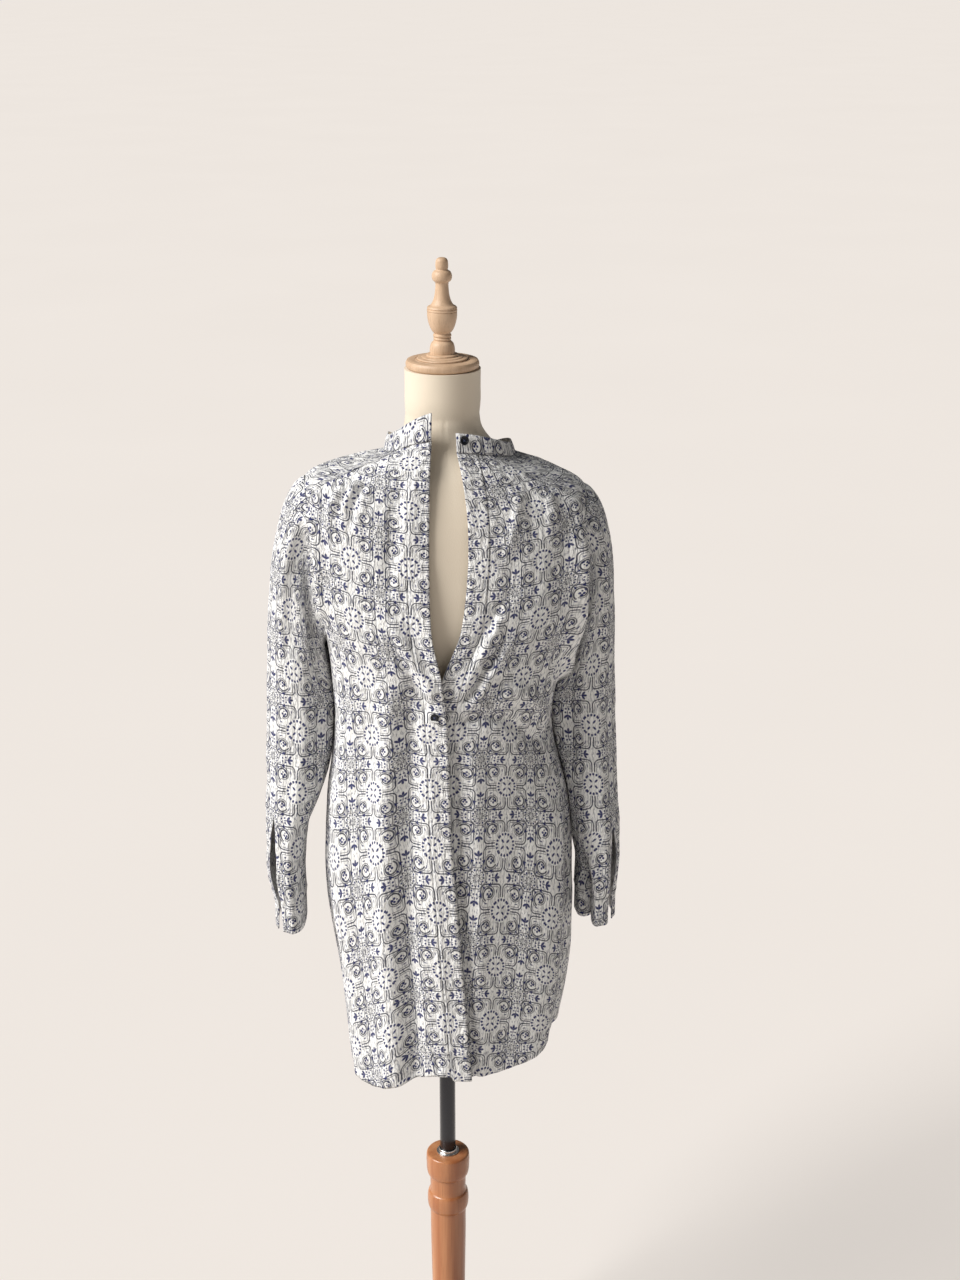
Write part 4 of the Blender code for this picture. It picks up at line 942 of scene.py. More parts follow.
def front_edge(side, inward):
    arm = armhole_arc(side, YOKE_ARM_THETA, 180.0, PANEL_ARM)[:, 1]
    share = np.linspace(0.0, 1.0, PANEL_ARM + 1)
    upper = arm - arm[0] * (1 - share) ** 2
    lower = spaced(lambda s: (edge_angle(side, mix(arm[-1], HEM, s), inward), mix(arm[-1], HEM, s)),
                   SIDE_ROWS)
    upper = np.stack((edge_angle(side, upper, inward), upper), axis=-1)
    return np.concatenate((upper, lower[1:]))


def yoke_front_seam(side):
    angle, level = armhole_place(side, YOKE_ARM_THETA)
    return spaced(lambda s: (mix(yoke_angle(side), angle, s),
                             mix(0.0, level, s) + YOKE_FRONT_BOW * np.sin(np.pi * s)), YOKE_ROWS)


def side_seam(side):
    angle, level = armhole_place(side, 180.0)
    return spaced(lambda s: (mix(angle, side * SIDE_SEAM_ANGLE, s), mix(level, HEM, s)), SIDE_ROWS)


def back_yoke_seam():
    """From the -X armhole round the back to the +X one, as angles from 270 down to 90."""
    angle, level = armhole_place(1, -YOKE_ARM_THETA)
    return spaced(lambda s: (mix(360.0 - angle, angle, s),
                             mix(level, YOKE_BACK_LEVEL, np.sin(np.pi * s))), BACK_COLUMNS)


def full_turn(places):
    """Places of the -X side counted on through the back, as 180 to 360 degrees."""
    return np.stack((places[:, 0] % 360.0, places[:, 1]), axis=-1)


def lap_lift(angle, level):
    """How far the upper front is lifted off the body surface."""
    away = np.abs(ring_point(BODY, angle, level)[..., 0] - at_level(UPPER_EDGE, level))
    near = np.clip(1.0 - away / LAP_REACH, 0.0, 1.0) ** LAP_CURVE
    return LAP_LIFT * smooth_step((level - LAP_START_LEVEL) / LAP_FULL_AFTER) * near


def ring_run(angle, level, start):
    """The length along the body's rings from a start angle."""
    parts = np.linspace(0.0, 1.0, 25)[:, None, None]
    points = ring_point(BODY, start + (angle - start) * parts, level + 0 * parts)
    run = np.linalg.norm(np.diff(points, axis=0), axis=-1).sum(axis=0)
    return np.sign(angle - start) * run


def run_down(grid):
    """How far each point of a grid lies down its column from the top edge."""
    step = np.linalg.norm(np.diff(grid, axis=0), axis=-1)
    return np.pad(np.cumsum(step, axis=0), ((1, 0), (0, 0)))


def run_across(grid):
    """How far each point of a grid lies along its row from the first column."""
    step = np.linalg.norm(np.diff(grid, axis=1), axis=-1)
    return np.pad(np.cumsum(step, axis=1), ((0, 0), (1, 0)))


def seam_lengths(grid, edges):
    """The shortest way over a grid to the named edges, and how far along that is."""
    from_start = run_across(grid)
    from_top = run_down(grid)
    ways = {"start": (from_start, from_top), "end": (from_start[:, -1:] - from_start, from_top),
            "top": (from_top, from_start), "bottom": (from_top[-1:] - from_top, from_start)}
    away = np.full(grid.shape[:2], 1.0)
    along = np.zeros(grid.shape[:2])
    for edge in edges:
        way, run = ways[edge]
        along = np.where(way < away, run, along)
        away = np.minimum(way, away)
    return away, along


def cloth_piece(name, grid, prints, seams, wall, print_step=None):
    """A cut piece of cloth from a grid of points, rows from the top, with its print and wall.

    prints holds the print's coordinates at each point, and seams how far each lies from a seam and
    along it. print_step is (column, lengths):
    past that column, a tube's own seam, the print goes on from its other side. A tube's two ends
    are joined where they meet.
    """
    rows, columns = grid.shape[0] - 1, grid.shape[1] - 1
    away, along = seams
    deselect()
    bpy.ops.mesh.primitive_grid_add(x_subdivisions=columns, y_subdivisions=rows, size=1)
    obj = bpy.context.object
    obj.name = name
    mesh = obj.data
    mesh.name = name
    mesh.vertices.foreach_set("co", grid[::-1].astype(np.float32).ravel())
    for attribute, values in (("from_seam", away), ("along_seam", along)):
        made = mesh.attributes.new(attribute, "FLOAT", "POINT")
        made.data.foreach_set("value", values[::-1].astype(np.float32).ravel())
    corners = np.zeros(len(mesh.loops), int)
    mesh.loops.foreach_get("vertex_index", corners)
    row, column = np.divmod(corners, columns + 1)
    row = rows - row
    uv = prints[row, column]
    if print_step:
        first = column.reshape(-1, 4).min(axis=1).repeat(4)
        uv[:, 0] -= np.where(first >= print_step[0], print_step[1][row], 0.0)
    layer = mesh.uv_layers[0]
    layer.name = "print"
    layer.data.foreach_set("uv", uv.astype(np.float32).ravel())
    mesh.shade_smooth()
    mesh.materials.append(printed)
    mesh.materials.append(wrong_side)
    if print_step:
        bpy.ops.object.mode_set(mode="EDIT")
        bpy.ops.mesh.select_all(action="SELECT")
        bpy.ops.mesh.remove_doubles(threshold=WELD)
        bpy.ops.object.mode_set(mode="OBJECT")
    thick = obj.modifiers.new("wall", "SOLIDIFY")
    thick.thickness = wall
    thick.offset = 0.0
    thick.material_offset = 1
    thick.material_offset_rim = 0
    bpy.ops.object.modifier_apply(modifier="wall")
    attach(obj, "root")
    return obj


def front_print(side, places):
    angle, level = places[..., 0], places[..., 1]
    if side < 0:
        start = angle_at_x(level, at_level(UPPER_EDGE, level) - UPPER_GRAIN_IN)
    else:
        start = angle_at_x(level, at_level(UNDER_GRAIN, level))
    lean = np.sin(np.radians(angle)) ** 2 / math.sin(math.radians(DROP_FULL_ANGLE)) ** 2
    row = at_level(PRINT_ROW, level) + at_level(PRINT_DROP, level) * lean
    return np.stack((ring_run(angle, level, start) / REPEAT_WIDE, row), axis=-1)


def back_print(places):
    angle, level = places[..., 0], places[..., 1]
    return np.stack((ring_run(angle, level, BACK_MIDDLE) / REPEAT_WIDE, at_level(PRINT_ROW, level)),
                    axis=-1)


def lay(places, lifted=False):
    points = body_point(places[..., 0], places[..., 1])
    if lifted:
        outward = unit(points * LAP_WAY)
        points = points + outward * lap_lift(places[..., 0], places[..., 1])[..., None]
    return points


for side, name, band_name in ((-1, "front_right", "placket_right"),
                              (1, "front_left", "placket_left")):
    lifted = side < 0
    inner = front_edge(side, FRONT_BAND_WIDTH)
    neck = spaced(lambda s: (mix(inner[0, 0], yoke_angle(side), s), 0 * s), NECK_COLUMNS)
    top = np.concatenate((neck, yoke_front_seam(side)[1:]))
    end = np.concatenate((armhole_arc(side, YOKE_ARM_THETA, 180.0, PANEL_ARM),
                          side_seam(side)[1:]))
    bottom = spaced(lambda s: (mix(inner[-1, 0], side * SIDE_SEAM_ANGLE, s), HEM + 0 * s),
                    len(top) - 1)
    places = patch(top, bottom, inner, end)
    outer = front_edge(side, 0.0)
    share = np.linspace(0.0, 1.0, BAND_COLUMNS + 1)[None, :]
    band = np.stack((mix(outer[:, :1], inner[:, :1], share), inner[:, 1:] + 0 * share), axis=-1)
    if side < 0:
        places, band = places[:, ::-1], band[:, ::-1]
    band_side = "start" if side < 0 else "end"
    for piece_name, piece_places, edges, wall in (
            (name + "_cloth", places, ("top", "bottom", "start", "end"), CLOTH),
            (band_name + "_cloth", band, (band_side,), BAND)):
        grid = lay(piece_places, lifted)
        node = piece_name.replace("_cloth", "")
        piece = cloth_piece(piece_name, grid, front_print(side, piece_places),
                            seam_lengths(grid, edges), wall)
        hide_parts(node)

start = np.concatenate((armhole_arc(1, -YOKE_ARM_THETA, -180.0, PANEL_ARM), side_seam(1)[1:]))
end = np.concatenate((armhole_arc(-1, -YOKE_ARM_THETA, -180.0, PANEL_ARM), side_seam(-1)[1:]))
end = full_turn(end)
bottom = spaced(lambda s: (mix(start[-1, 0], end[-1, 0], s), HEM + 0 * s), BACK_COLUMNS)
places = patch(back_yoke_seam()[::-1], bottom, start, end)
prints = back_print(places)
grid = lay(places)
back = cloth_piece("back_cloth", grid, prints,
                   seam_lengths(grid, ("top", "bottom", "start", "end")), CLOTH)
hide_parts("back")

right_arm = armhole_arc(1, YOKE_ARM_THETA, -YOKE_ARM_THETA, YOKE_ARM)
left_arm = full_turn(armhole_arc(-1, -YOKE_ARM_THETA, YOKE_ARM_THETA, YOKE_ARM))
outer = np.concatenate((right_arm, back_yoke_seam()[::-1][1:-1], left_arm))
inner = spaced(lambda s: (mix(yoke_angle(1), 360.0 + yoke_angle(-1), s), 0 * s), len(outer) - 1)
places = patch(inner, outer, yoke_front_seam(1), full_turn(yoke_front_seam(-1)))
prints = back_print(places)
grid = lay(places)
yoke = cloth_piece("yoke_cloth", grid, prints,
                   seam_lengths(grid, ("bottom", "start", "end")), CLOTH)
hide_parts("yoke")

# ================================================================ the collar band
# A stand of two layers of the printed cotton, sewn to the neckline and left open in front. Its
# top edge is turned in and stitched, and it leans a little toward the neck.
COLLAR_TOP = ((1.524, 1.496, 1.480, 1.468, 1.434, 0.069, 0.086, 0.069, 0.074, 2.0),)
COLLAR_COLUMNS = 200
COLLAR_ROWS = 12
COLLAR_WALL = 0.0019
COLLAR_PUFF = 0.0006      # how far the two layers stand proud between their stitched edges
COLLAR_PROUD = 0.0012     # the collar's foot stands out from the neckline by this
COLLAR_BELOW = 0.0002     # and reaches down past it by this
COLLAR_PRINT_AT = (0.35, 8.62)

low = edge_angle(1, 0.0)
high = 360.0 + edge_angle(-1, 0.0)
around = spaced(lambda s: (mix(low, high, s), 0 * s), COLLAR_COLUMNS)
foot = body_point(around[:, 0], around[:, 1])
rim = ring_point(COLLAR_TOP, around[:, 0], 0.0)
up = rim - foot
tall = np.linalg.norm(up, axis=-1, keepdims=True)
foot = foot - up / tall * COLLAR_BELOW
share = np.linspace(1.0, 0.0, COLLAR_ROWS + 1)[:, None, None]
grid = mix(foot[None], rim[None], share)
outward = unit(grid * (1.0, 1.0, 0.0))
grid = grid + outward * (COLLAR_PUFF * np.sin(np.pi * share) + COLLAR_PROUD)
run = ring_run(around[None, :, 0], 0.0 * around[None, :, 0], BACK_MIDDLE) / REPEAT_WIDE
prints = np.stack((np.repeat(run, COLLAR_ROWS + 1, axis=0) + COLLAR_PRINT_AT[0],
                   (share * tall[None])[..., 0] / REPEAT_HIGH + COLLAR_PRINT_AT[1]), axis=-1)
collar = cloth_piece("collar_cloth", grid, prints,
                     seam_lengths(grid, ("top", "bottom", "start", "end")), COLLAR_WALL)
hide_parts("collar_band")

# ================================================================ the sleeves and cuffs
# Each sleeve is one piece of the printed cotton, sewn in at the armhole with its own seam under
# the arm. It hangs empty, and its cuff is open at the slit, so the two ends of the cuff part.
SLEEVES = {
    # z, x outward, y, half width and half depth of each level ring
    "right": (
        (1.110, 0.1900, 0.020, 0.0475, 0.0580),
        (1.050, 0.1945, 0.018, 0.0450, 0.0570),
        (0.990, 0.2040, 0.013, 0.0375, 0.0550),
        (0.930, 0.2165, 0.007, 0.0275, 0.0530),
        (0.870, 0.2200, 0.004, 0.0245, 0.0520),
        (0.829, 0.2160, 0.002, 0.0205, 0.0500),
    ),
    "left": (
        (1.110, 0.1850, 0.018, 0.0455, 0.0600),
        (1.050, 0.1885, 0.018, 0.0436, 0.0590),
        (0.990, 0.1975, 0.014, 0.0370, 0.0570),
        (0.930, 0.2045, 0.006, 0.0335, 0.0540),
        (0.870, 0.2105, -0.002, 0.0270, 0.0500),
        (0.829, 0.2085, -0.006, 0.0260, 0.0440),
    ),
}
SLEEVE_FOLDS = {
    # angle round the sleeve at the fold's start and end, half width in degrees, rise, and the
    # shares of the sleeve's length where it starts and ends
    "right": (
        (20, 20, 16, 0.0035, 0.30, 1.15),
        (75, 75, 15, -0.0040, 0.25, 1.15),
        (122, 116, 20, -0.0100, 0.08, 0.72),
        (205, 205, 16, 0.0030, 0.35, 1.15),
        (250, 250, 16, -0.0040, 0.25, 1.15),
        (300, 300, 16, 0.0035, 0.30, 1.15),
    ),
    "left": (
        (15, 15, 15, 0.0035, 0.30, 1.15),
        (70, 70, 15, 0.0040, 0.30, 1.15),
        (124, 112, 20, -0.0130, 0.08, 0.72),
        (176, 128, 19, -0.0240, 0.76, 1.00),
        (135, 98, 12, 0.0060, 0.78, 1.00),
        (200, 200, 16, 0.0030, 0.35, 1.15),
        (255, 255, 16, -0.0040, 0.25, 1.15),
        (310, 310, 16, 0.0035, 0.30, 1.15),
    ),
}
SLEEVE_COLUMNS = 96
SLEEVE_TURN_ROWS = 46
SLEEVE_DOWN_ROWS = 84
SLEEVE_OUT_TOP = 0.046
SLEEVE_TOP_FALL = 0.38
SLEEVE_OUT_UNDER = 0.010
SLEEVE_DROP = 0.45        # the share of the turn's height over which it comes to hang
SLEEVE_ROWS_CLOSER = 1.25     # the power that sets the first rows closer
FOLD_FADE = 0.2           # of the sleeve's length, at a fold's start and end
SLIT_TURN = 45.0
SLIT_HEIGHT = {"right": 0.128, "left": 0.104}
SLIT_GAP = 0.0110
SLIT_SHAPE = ((0.0, 0.15, 0.40, 0.70, 1.0), (0.0, 0.55, 1.0, 0.80, 0.45))   # down the slit
SLIT_SHARES = (1.0, 0.75, 0.45, 0.2)    # of the opening, for the columns beside the slit
SLIT_LIFT = 0.0022        # the slit's front edge is let in by this, and its back edge stands out
TUCK_UNDER = 0.0070       # in front, the sleeve starts this far under the front's edge
TUCK_DEEP = 0.0060
TUCK_START = (54.0, 16.0)     # degrees round the armhole, and the degrees it takes to be whole
TUCK_END = (150.0, 22.0)
TUCKED_WAY = (0.78, 0.62, -0.15)    # the way the tucked part sets out: outward and back
SEAM_IN = 0.0006          # elsewhere the sleeve starts this far inside the armhole
ARMHOLE_DIP = {"right": 0.0220, "left": 0.0145}   # the sleeve falls in by this behind the front
ARMHOLE_DIP_TURN = 99.0
ARMHOLE_DIP_SPREAD = 37.0
ARMHOLE_DIP_START = 0.007
ARMHOLE_DIP_REACH = 0.095
ARMHOLE_DIP_FADE = 0.080
BODY_CLEAR = 0.0022       # a sleeve lies against the body's side with this between their middles
BESIDE_ANGLES = np.arange(30.0, 150.5, 2.0)[None, :]
BESIDE_LEVELS = np.arange(4.2, 8.4, 0.05)[:, None]
BESIDE_HEIGHTS = (0.86, 1.24)
BESIDE_NEAR = 0.004       # the body's points this near count most
BESIDE_FAR = 0.006        # with none this near, the sleeve is left alone
BESIDE_START = 0.015      # the push begins over this much of the sleeve from its seam
ARMPIT_Z = 1.20           # and below this height
ARMPIT_FADE = 0.03
SLEEVE_CRINKLE = 0.0014
SLEEVE_CRINKLE_ROUND = 2.2
SLEEVE_CRINKLE_DOWN = 16.0
SLEEVE_CRINKLE_START = 0.12
CUFF_HEIGHT = 0.042
CUFF_TIGHTER = 0.0015     # the cuff is drawn in by this, within its first rows
CUFF_TIGHTER_ROWS = 2.0
CUFF_OPEN = 0.9           # of the slit's full width, at the cuff's lower edge
CUFF_ROWS = 14
CUFF_WALL = 0.0018


def sleeve_value(table, column, level):
    rows = [tuple(row) + (0.0,) * (len(BODY_COLUMNS) - len(row)) for row in table]
    return read_table(rows, BODY_COLUMNS[column], np.asarray(level, float))


def sleeve_ring(table, side, part, theta):
    level = part * (len(table) - 1)
    z, x, y, width, depth = (sleeve_value(table, k, level) for k in range(5))
    turn = np.radians(theta)
    return np.stack((side * (x + width * np.cos(turn)), y - depth * np.sin(turn),
                     z + 0 * turn), axis=-1)


def mean_run(grid):
    """How far each row of a grid lies from the top one, as the mean over its columns."""
    step = np.linalg.norm(np.diff(grid, axis=0), axis=-1)
    return np.concatenate(([0.0], np.cumsum(step.mean(axis=1))))


def sleeve_grid(side, table, folds, theta):
    """The sleeve's points, rows from the armhole down, at angles theta round it."""
    angle, level = armhole_place(side, theta)
    start = body_point(angle, level)
    along = body_point(*armhole_place(side, theta + 4)) - body_point(*armhole_place(side, theta - 4))
    inner = body_point(mix(angle, side * SIDE_SEAM_ANGLE, 0.08), mix(level, ARMHOLE_LEVEL, 0.08))
    along = unit(along)
    inward = inner - start
    inward = unit(inward - along * (inward * along).sum(axis=-1, keepdims=True))
    normal = surface_normal(BODY, angle, level)
    in_front = (theta % 360.0)[:, None]
    in_front = (smooth_step((in_front - TUCK_START[0]) / TUCK_START[1])
                * smooth_step((TUCK_END[0] - in_front) / TUCK_END[1]))
    start = start + inward * mix(SEAM_IN, -TUCK_UNDER, in_front) - normal * TUCK_DEEP * in_front
    first = sleeve_ring(table, side, np.array(0.0), theta)
    under = smooth_step((1 - np.cos(np.radians(theta))) / 2)[:, None]
    reach = mix(SLEEVE_OUT_TOP, SLEEVE_OUT_UNDER, under)
    way = unit(mix(np.array((side, 0.0, -SLEEVE_TOP_FALL)), normal, under))
    way = unit(mix(way, np.array((side, 1.0, 1.0)) * TUCKED_WAY, in_front))
    drop = (start[:, 2:] - first[:, 2:]) * SLEEVE_DROP * (0.0, 0.0, 1.0)
    s = (np.linspace(0.0, 1.0, SLEEVE_TURN_ROWS + 1)[:-1] ** SLEEVE_ROWS_CLOSER)[:, None, None]
    t = 1 - s
    over = (start * t ** 3 + (start + way * reach) * 3 * t * t * s
            + (first + drop) * 3 * t * s * s + first * s ** 3)
    down = [sleeve_ring(table, side, np.array(part), theta)
            for part in np.linspace(0.0, 1.0, SLEEVE_DOWN_ROWS + 1)]
    grid = np.concatenate((over, np.array(down)))
    part = mean_run(grid)
    part = (part / part[-1])[:, None]
    height = np.zeros(grid.shape[:2])
    for from_turn, to_turn, spread, rise, first_part, last_part in folds:
        middle = mix(from_turn, to_turn, np.clip((part - first_part) / (last_part - first_part), 0, 1))
        off = turned_from(theta[None], middle)
        window = smooth_step((part - first_part) / FOLD_FADE)
        if last_part < 1.0:
            window = window * smooth_step((last_part - part) / FOLD_FADE)
        height = height + rise * window * np.exp(-(off / spread) ** 2)
    turn = np.radians(theta)
    waves = [[noise.noise(Vector((SLEEVE_CRINKLE_ROUND * math.cos(a),
                                  SLEEVE_CRINKLE_ROUND * math.sin(a),
                                  SLEEVE_CRINKLE_DOWN * p + 9 * side)))
              for a in turn] for p in part[:, 0]]
    height = height + np.array(waves) * SLEEVE_CRINKLE * smooth_step(part / SLEEVE_CRINKLE_START)
    off = turned_from(theta[None], ARMHOLE_DIP_TURN)
    from_seam = run_down(grid)
    dip = ARMHOLE_DIP["left" if side > 0 else "right"] * np.exp(-(off / ARMHOLE_DIP_SPREAD) ** 2)
    height = height - dip * (smooth_step(from_seam / ARMHOLE_DIP_START)
                             * smooth_step((ARMHOLE_DIP_REACH - from_seam) / ARMHOLE_DIP_FADE))
    middle = grid.mean(axis=1, keepdims=True)
    outward = unit((grid - middle) * (1.0, 1.0, 0.0))
    return beside_body(grid + outward * height[..., None], side, from_seam)


def beside_body(grid, side, from_seam):
    """Where the hanging sleeve would sink into the body's side, it's pushed out against it."""
    body = body_point(side * BESIDE_ANGLES, BESIDE_LEVELS).reshape(-1, 3)
    grid = grid.copy()
    for row, run in zip(grid, from_seam):
        if not BESIDE_HEIGHTS[0] < row[:, 2].mean() < BESIDE_HEIGHTS[1]:
            continue
        away = ((row[:, None, 1:] - body[None, :, 1:]) ** 2).sum(axis=-1)
        near = np.exp(-away / BESIDE_NEAR ** 2) + 1e-30
        reach = (near * body[None, :, 0] * side).sum(axis=1) / near.sum(axis=1)
        sunk = np.maximum(reach + BODY_CLEAR - side * row[:, 0], 0.0)
        sunk *= (away.min(axis=1) < BESIDE_FAR ** 2) * smooth_step(run / BESIDE_START)
        row[:, 0] += side * sunk * smooth_step((ARMPIT_Z - row[:, 2]) / ARMPIT_FADE)
    return grid


def opened(grid, opening, side):
    """The two edges of the slit parted, the front one let in and the back one lifted out."""
    grid = grid.copy()
    along = unit(grid[:, 1] - grid[:, -2])
    outward = np.cross(along, (0.0, 0.0, 1.0))
    for k, share in enumerate(SLIT_SHARES):
        move = (opening * share)[:, None]
        apart = along * move * SLIT_GAP / 2 + side * outward * move * SLIT_LIFT
        grid[:, k] += apart
        grid[:, -1 - k] -= apart
    return grid


for side, name in ((-1, "right"), (1, "left")):
    theta = np.linspace(SLIT_TURN, SLIT_TURN + 360.0, SLEEVE_COLUMNS + 1)[::-side]
    grid = sleeve_grid(side, SLEEVES[name], SLEEVE_FOLDS[name], theta)
    row_runs = mean_run(grid)
    slit_row = int(np.argmin(np.abs(row_runs[-1] - row_runs - SLIT_HEIGHT[name])))
    last = grid[-1].copy()
    down_slit = (np.arange(len(grid)) - slit_row) / (len(grid) - 1 - slit_row)
    opening = np.interp(down_slit, *SLIT_SHAPE)
    grid = opened(grid, opening, side)
    round_run = run_across(grid)
    girth = round_run[:, -1]
    outer_line = int(np.argmin(np.abs(theta - 360.0)))
    under = int(np.argmin(np.abs(theta - 180.0)))
    across = round_run - round_run[:, outer_line:outer_line + 1]
    if side < 0:
        across = across + girth[:, None]
    downs = run_down(grid)
    prints = np.stack((across / REPEAT_WIDE, (downs[-1:] - downs) / REPEAT_HIGH), axis=-1)
    away, along_seam = seam_lengths(grid, ("top",))
    own_seam = np.abs(round_run - round_run[:, under:under + 1])
    slit_edge = np.minimum(round_run, girth[:, None] - round_run)
    slit_edge[:slit_row - 1] = 1.0
    for way in (own_seam, slit_edge):
        along_seam = np.where(way < away, downs, along_seam)
        away = np.minimum(way, away)
    sleeve = cloth_piece("sleeve_" + name + "_cloth", grid, prints, (away, along_seam), CLOTH,
                         (under, girth / REPEAT_WIDE))
    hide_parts("sleeve_" + name)

    drop = np.linspace(0.0, CUFF_HEIGHT, CUFF_ROWS + 1)
    tighter = np.minimum(np.arange(CUFF_ROWS + 1) / CUFF_TIGHTER_ROWS, 1.0) * CUFF_TIGHTER
    middle = last.mean(axis=0)
    cuff = last[None] + unit(middle - last)[None] * tighter[:, None, None]
    cuff[..., 2] -= drop[:, None]
    cuff = opened(cuff, np.linspace(SLIT_SHAPE[1][-1], CUFF_OPEN, CUFF_ROWS + 1), side)
    prints = np.repeat(prints[-1:], CUFF_ROWS + 1, axis=0)
    prints[..., 1] -= drop[:, None] / REPEAT_HIGH
    cuff = cloth_piece("cuff_" + name + "_cloth", cuff, prints,
                       seam_lengths(cuff, ("top", "bottom", "start", "end")), CUFF_WALL)
    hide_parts("cuff_" + name)

# ================================================================ the buttons
# Small dark sew-through buttons, moulded with a raised rim, a dished middle and four holes, and
# sewn on with navy thread. The front one is pushed up through a stitched buttonhole.
FRONT_BUTTON_Z = 1.139
FRONT_BUTTON_OFF = 0.0007     # its back stands off the band by this
COLLAR_BUTTON_ANGLE = 14.5
COLLAR_BUTTON_UP = 0.62   # of the collar's height
COLLAR_BUTTON_OFF = 0.0006
LIP_SIZE = (0.0064, 0.0013, 0.0009)
LIP_DOWN = 0.0046
LIP_OUT = 0.0021
HOLE_OUT = 0.0013
HOLE_RADIUS = 0.00055
DRILL_LENGTH = 0.006
DRILL_UP = 0.001
THREAD_RADIUS = 0.00036
THREAD_WIDER = 1.6
THREAD_FLATTER = 0.62
THREAD_UP = 0.00075
DARK_SHELL = (0.004, 0.004, 0.007, 1.0)
SHELL_CLOUD = (0.010, 0.011, 0.016, 1.0)
NAVY_THREAD = (0.035, 0.045, 0.095, 1.0)
LIP_THREAD = (0.74, 0.73, 0.71, 1.0)
LIP_STITCH = 0.0006
BUTTON_PROFILE = (
    (0.0000, 0.0015), (0.0024, 0.0015), (0.0034, 0.0017), (0.0041, 0.0022), (0.0047, 0.0024),
    (0.0053, 0.0023), (0.0057, 0.0018), (0.0058, 0.0012), (0.0055, 0.0004), (0.0048, 0.0000),
    (0.0000, 0.0000),
)

shell, tree, shader, calc = new_material("dark shell button")
place = tree.nodes.new("ShaderNodeTexCoord").outputs["Object"]
cloudy = noise_of(tree, place, 420.0, 3.0)
tree.links.new(blend_colours(tree, cloudy, DARK_SHELL, SHELL_CLOUD), shader.inputs["Base Color"])
shader.inputs["Roughness"].default_value = 0.34
shader.inputs["Specular IOR Level"].default_value = 0.35
thread, tree, shader, calc = new_material("navy thread")
place = tree.nodes.new("ShaderNodeTexCoord").outputs["Object"]
shader.inputs["Base Color"].default_value = NAVY_THREAD
shader.inputs["Roughness"].default_value = 0.7
tree.links.new(bump_of(tree, noise_of(tree, place, 2600.0, 1.0), 0.0002, 0.6),
               shader.inputs["Normal"])


def settle(obj, centre, outward):
    """Turns a piece made flat at the origin to face outward at its place."""
    obj.rotation_mode = "QUATERNION"
    obj.rotation_quaternion = Vector(outward).to_track_quat("Z", "Y")
    obj.location = centre
    deselect()
    obj.select_set(True)
    bpy.context.view_layer.objects.active = obj
    bpy.ops.object.transform_apply(location=True, rotation=True, scale=True)


def sewn_button(name, node, centre, outward):
    """A button with its four holes drilled, and two loops of thread through them."""
    piece = turned(name, eased(BUTTON_PROFILE, 3), shell, 64)
    for x in (-HOLE_OUT, HOLE_OUT):
        for y in (-HOLE_OUT, HOLE_OUT):
            deselect()
            bpy.ops.mesh.primitive_cylinder_add(vertices=20, radius=HOLE_RADIUS, depth=DRILL_LENGTH,
                                                location=(x, y, DRILL_UP))
            drill = bpy.context.object
            bpy.context.view_layer.objects.active = piece
            cut = piece.modifiers.new("hole", "BOOLEAN")
            cut.operation = "DIFFERENCE"
            cut.solver = "EXACT"
            cut.object = drill
            bpy.ops.object.modifier_apply(modifier="hole")
            bpy.data.objects.remove(drill, do_unlink=True)
    settle(piece, centre, outward)
    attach(piece, "root")
    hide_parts(node)
    for number, turn in ((1, 45.0), (2, 135.0)):
        deselect()
        bpy.ops.mesh.primitive_torus_add(major_segments=40, minor_segments=10,
                                         major_radius=HOLE_OUT * 1.414,
                                         minor_radius=THREAD_RADIUS)
        loop = bpy.context.object
        loop.name = name + "_thread_" + str(number)
        bpy.ops.transform.resize(value=(1.0, 1.0, THREAD_WIDER))
        bpy.ops.transform.rotate(value=math.pi / 2, orient_axis="X",
                                 center_override=(0.0, 0.0, 0.0))
        bpy.ops.transform.rotate(value=math.radians(turn), orient_axis="Z",
                                 center_override=(0.0, 0.0, 0.0))
        bpy.ops.transform.resize(value=(1.0, 1.0, THREAD_FLATTER))
        bpy.ops.transform.translate(value=(0.0, 0.0, THREAD_UP))
        bpy.ops.object.transform_apply(location=True, rotation=True, scale=True)
        bpy.ops.object.shade_smooth()
        loop.data.materials.append(thread)
        settle(loop, centre, outward)
        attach(loop, "root")


levels = np.arange(4.0, 7.0, 0.01)
level = levels[np.argmin(np.abs(ring_point(BODY, -6.0, levels)[..., 2] - FRONT_BUTTON_Z))]
angle = float(edge_angle(-1, level, FRONT_BAND_WIDTH / 2))
near = lay(np.array([[angle, level], [angle - 2, level], [angle + 2, level],
                     [angle, level - 0.06], [angle, level + 0.06]]), True)
outward = unit(np.cross(near[4] - near[3], near[2] - near[1]))
centre = near[1:].mean(axis=0) + outward * (BAND / 2 + FRONT_BUTTON_OFF)
sewn_button("button_front_shell", "button_front", centre, outward)

# the buttonhole's lower lip, closely stitched over, lies on the button's lower edge
lip_thread, tree, shader, calc = new_material("buttonhole thread")
place = tree.nodes.new("ShaderNodeTexCoord").outputs["Object"]
shader.inputs["Base Color"].default_value = LIP_THREAD
shader.inputs["Roughness"].default_value = 0.75
bars = calc("SINE", calc("MULTIPLY", first_of(tree, place), 2 * math.pi / LIP_STITCH))
tree.links.new(bump_of(tree, bars, 0.0003, 0.7), shader.inputs["Normal"])
deselect()
bpy.ops.mesh.primitive_uv_sphere_add(segments=32, ring_count=16, radius=1.0)
lip = bpy.context.object
lip.name = "buttonhole_lip"
bpy.ops.transform.resize(value=LIP_SIZE)
bpy.ops.object.transform_apply(location=True, rotation=True, scale=True)
bpy.ops.object.shade_smooth()
lip.data.materials.append(lip_thread)
down = unit(np.array((0.0, 0.0, -1.0)) - outward * -outward[2])
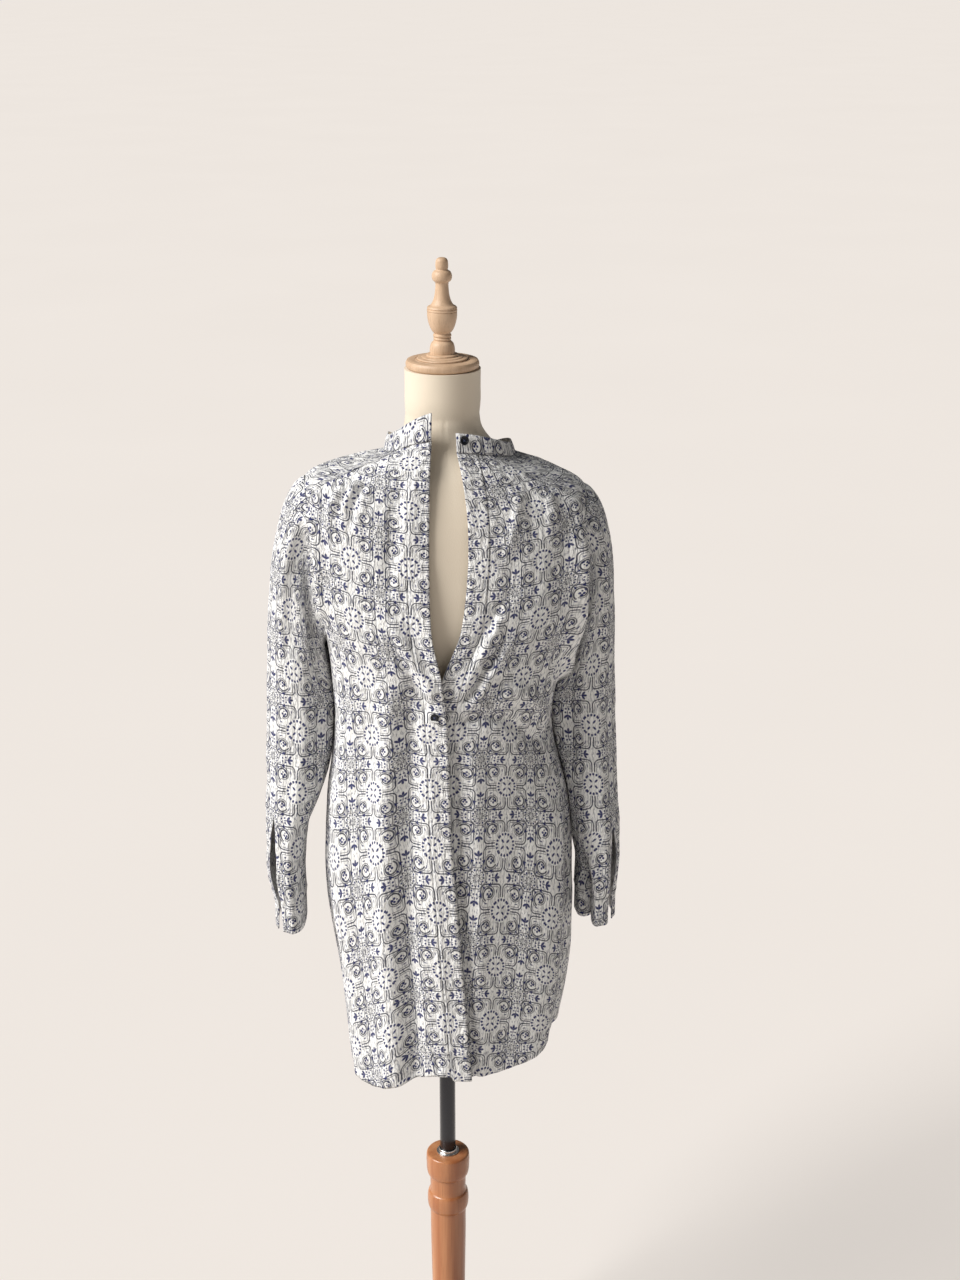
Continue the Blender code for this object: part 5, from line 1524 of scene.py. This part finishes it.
settle(lip, centre + down * LIP_DOWN + outward * LIP_OUT, outward)
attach(lip, "root")

foot = body_point(COLLAR_BUTTON_ANGLE, 0.0)
rim = ring_point(COLLAR_TOP, COLLAR_BUTTON_ANGLE, 0.0)
around = (ring_point(COLLAR_TOP, COLLAR_BUTTON_ANGLE + 2, 0.0)
          - ring_point(COLLAR_TOP, COLLAR_BUTTON_ANGLE - 2, 0.0))
outward = unit(np.cross(foot - rim, around))
off_collar = COLLAR_WALL / 2 + COLLAR_PUFF + COLLAR_PROUD + COLLAR_BUTTON_OFF
centre = mix(foot, rim, COLLAR_BUTTON_UP) + outward * off_collar
sewn_button("button_collar_shell", "button_collar", centre, outward)

# ================================================================ the stage
# A plain pale floor that glows a little, one large soft light from the viewer's left and an even
# pale sky, with the camera above the shirt's shoulders, tilted down.
FLOOR_LIGHT = (0.51, 0.480, 0.455, 1.0)
FLOOR_DARK = (0.48, 0.450, 0.425, 1.0)
FLOOR_GLOW = 0.36         # a lit studio floor, so that the cast shadow stays weak
GLOW_COLOUR = (1.0, 0.93, 0.87, 1.0)
KEY_TURN = 73.0
KEY_RISE = 38.0
KEY_STRENGTH = 4.6
KEY_SOFT = 34.0
KEY_COLOUR = (1.0, 0.985, 0.96)
SKY_COLOUR = (0.96, 0.98, 1.0, 1.0)
SKY_STRENGTH = 0.10
CAMERA_PLACE = (-0.1184, -2.3740, 2.0705)
CAMERA_TILT = 69.8        # degrees up from looking straight down
CAMERA_TURN = -4.0
LENS = 53.44
SENSOR_WIDTH = 36.0

deselect()
bpy.ops.mesh.primitive_plane_add(size=600.0, location=(0.0, 0.0, -0.0005))
floor = bpy.context.object
floor.name = "floor"
plaster, tree, shader, calc = new_material("pale floor")
place = tree.nodes.new("ShaderNodeTexCoord").outputs["Object"]
tree.links.new(blend_colours(tree, noise_of(tree, place, 0.8, 4.0), FLOOR_LIGHT, FLOOR_DARK),
               shader.inputs["Base Color"])
shader.inputs["Roughness"].default_value = 0.9
shader.inputs["Emission Color"].default_value = GLOW_COLOUR
shader.inputs["Emission Strength"].default_value = FLOOR_GLOW
floor.data.materials.append(plaster)
floor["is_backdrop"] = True

turn, rise = math.radians(KEY_TURN), math.radians(KEY_RISE)
from_key = Vector((-math.sin(turn) * math.cos(rise), -math.cos(turn) * math.cos(rise),
                   math.sin(rise)))
key = bpy.data.lights.new("key", "SUN")
key.energy = KEY_STRENGTH
key.angle = math.radians(KEY_SOFT)
key.color = KEY_COLOUR
key_object = bpy.data.objects.new("key", key)
key_object.location = from_key * 3.0
key_object.rotation_mode = "QUATERNION"
key_object.rotation_quaternion = from_key.to_track_quat("Z", "Y")
bpy.context.scene.collection.objects.link(key_object)

world = bpy.data.worlds.new("pale room")
world.use_nodes = True
sky = world.node_tree.nodes["Background"]
sky.inputs["Color"].default_value = SKY_COLOUR
sky.inputs["Strength"].default_value = SKY_STRENGTH
bpy.context.scene.world = world
bpy.context.scene.view_settings.view_transform = "Standard"

camera_data = bpy.data.cameras.new("camera")
camera_data.lens = LENS
camera_data.sensor_width = SENSOR_WIDTH
camera = bpy.data.objects.new("camera", camera_data)
camera.location = CAMERA_PLACE
camera.rotation_euler = (math.radians(CAMERA_TILT), 0.0, math.radians(CAMERA_TURN))
bpy.context.scene.collection.objects.link(camera)
bpy.context.scene.camera = camera

bpy.context.view_layer.update()
low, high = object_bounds()
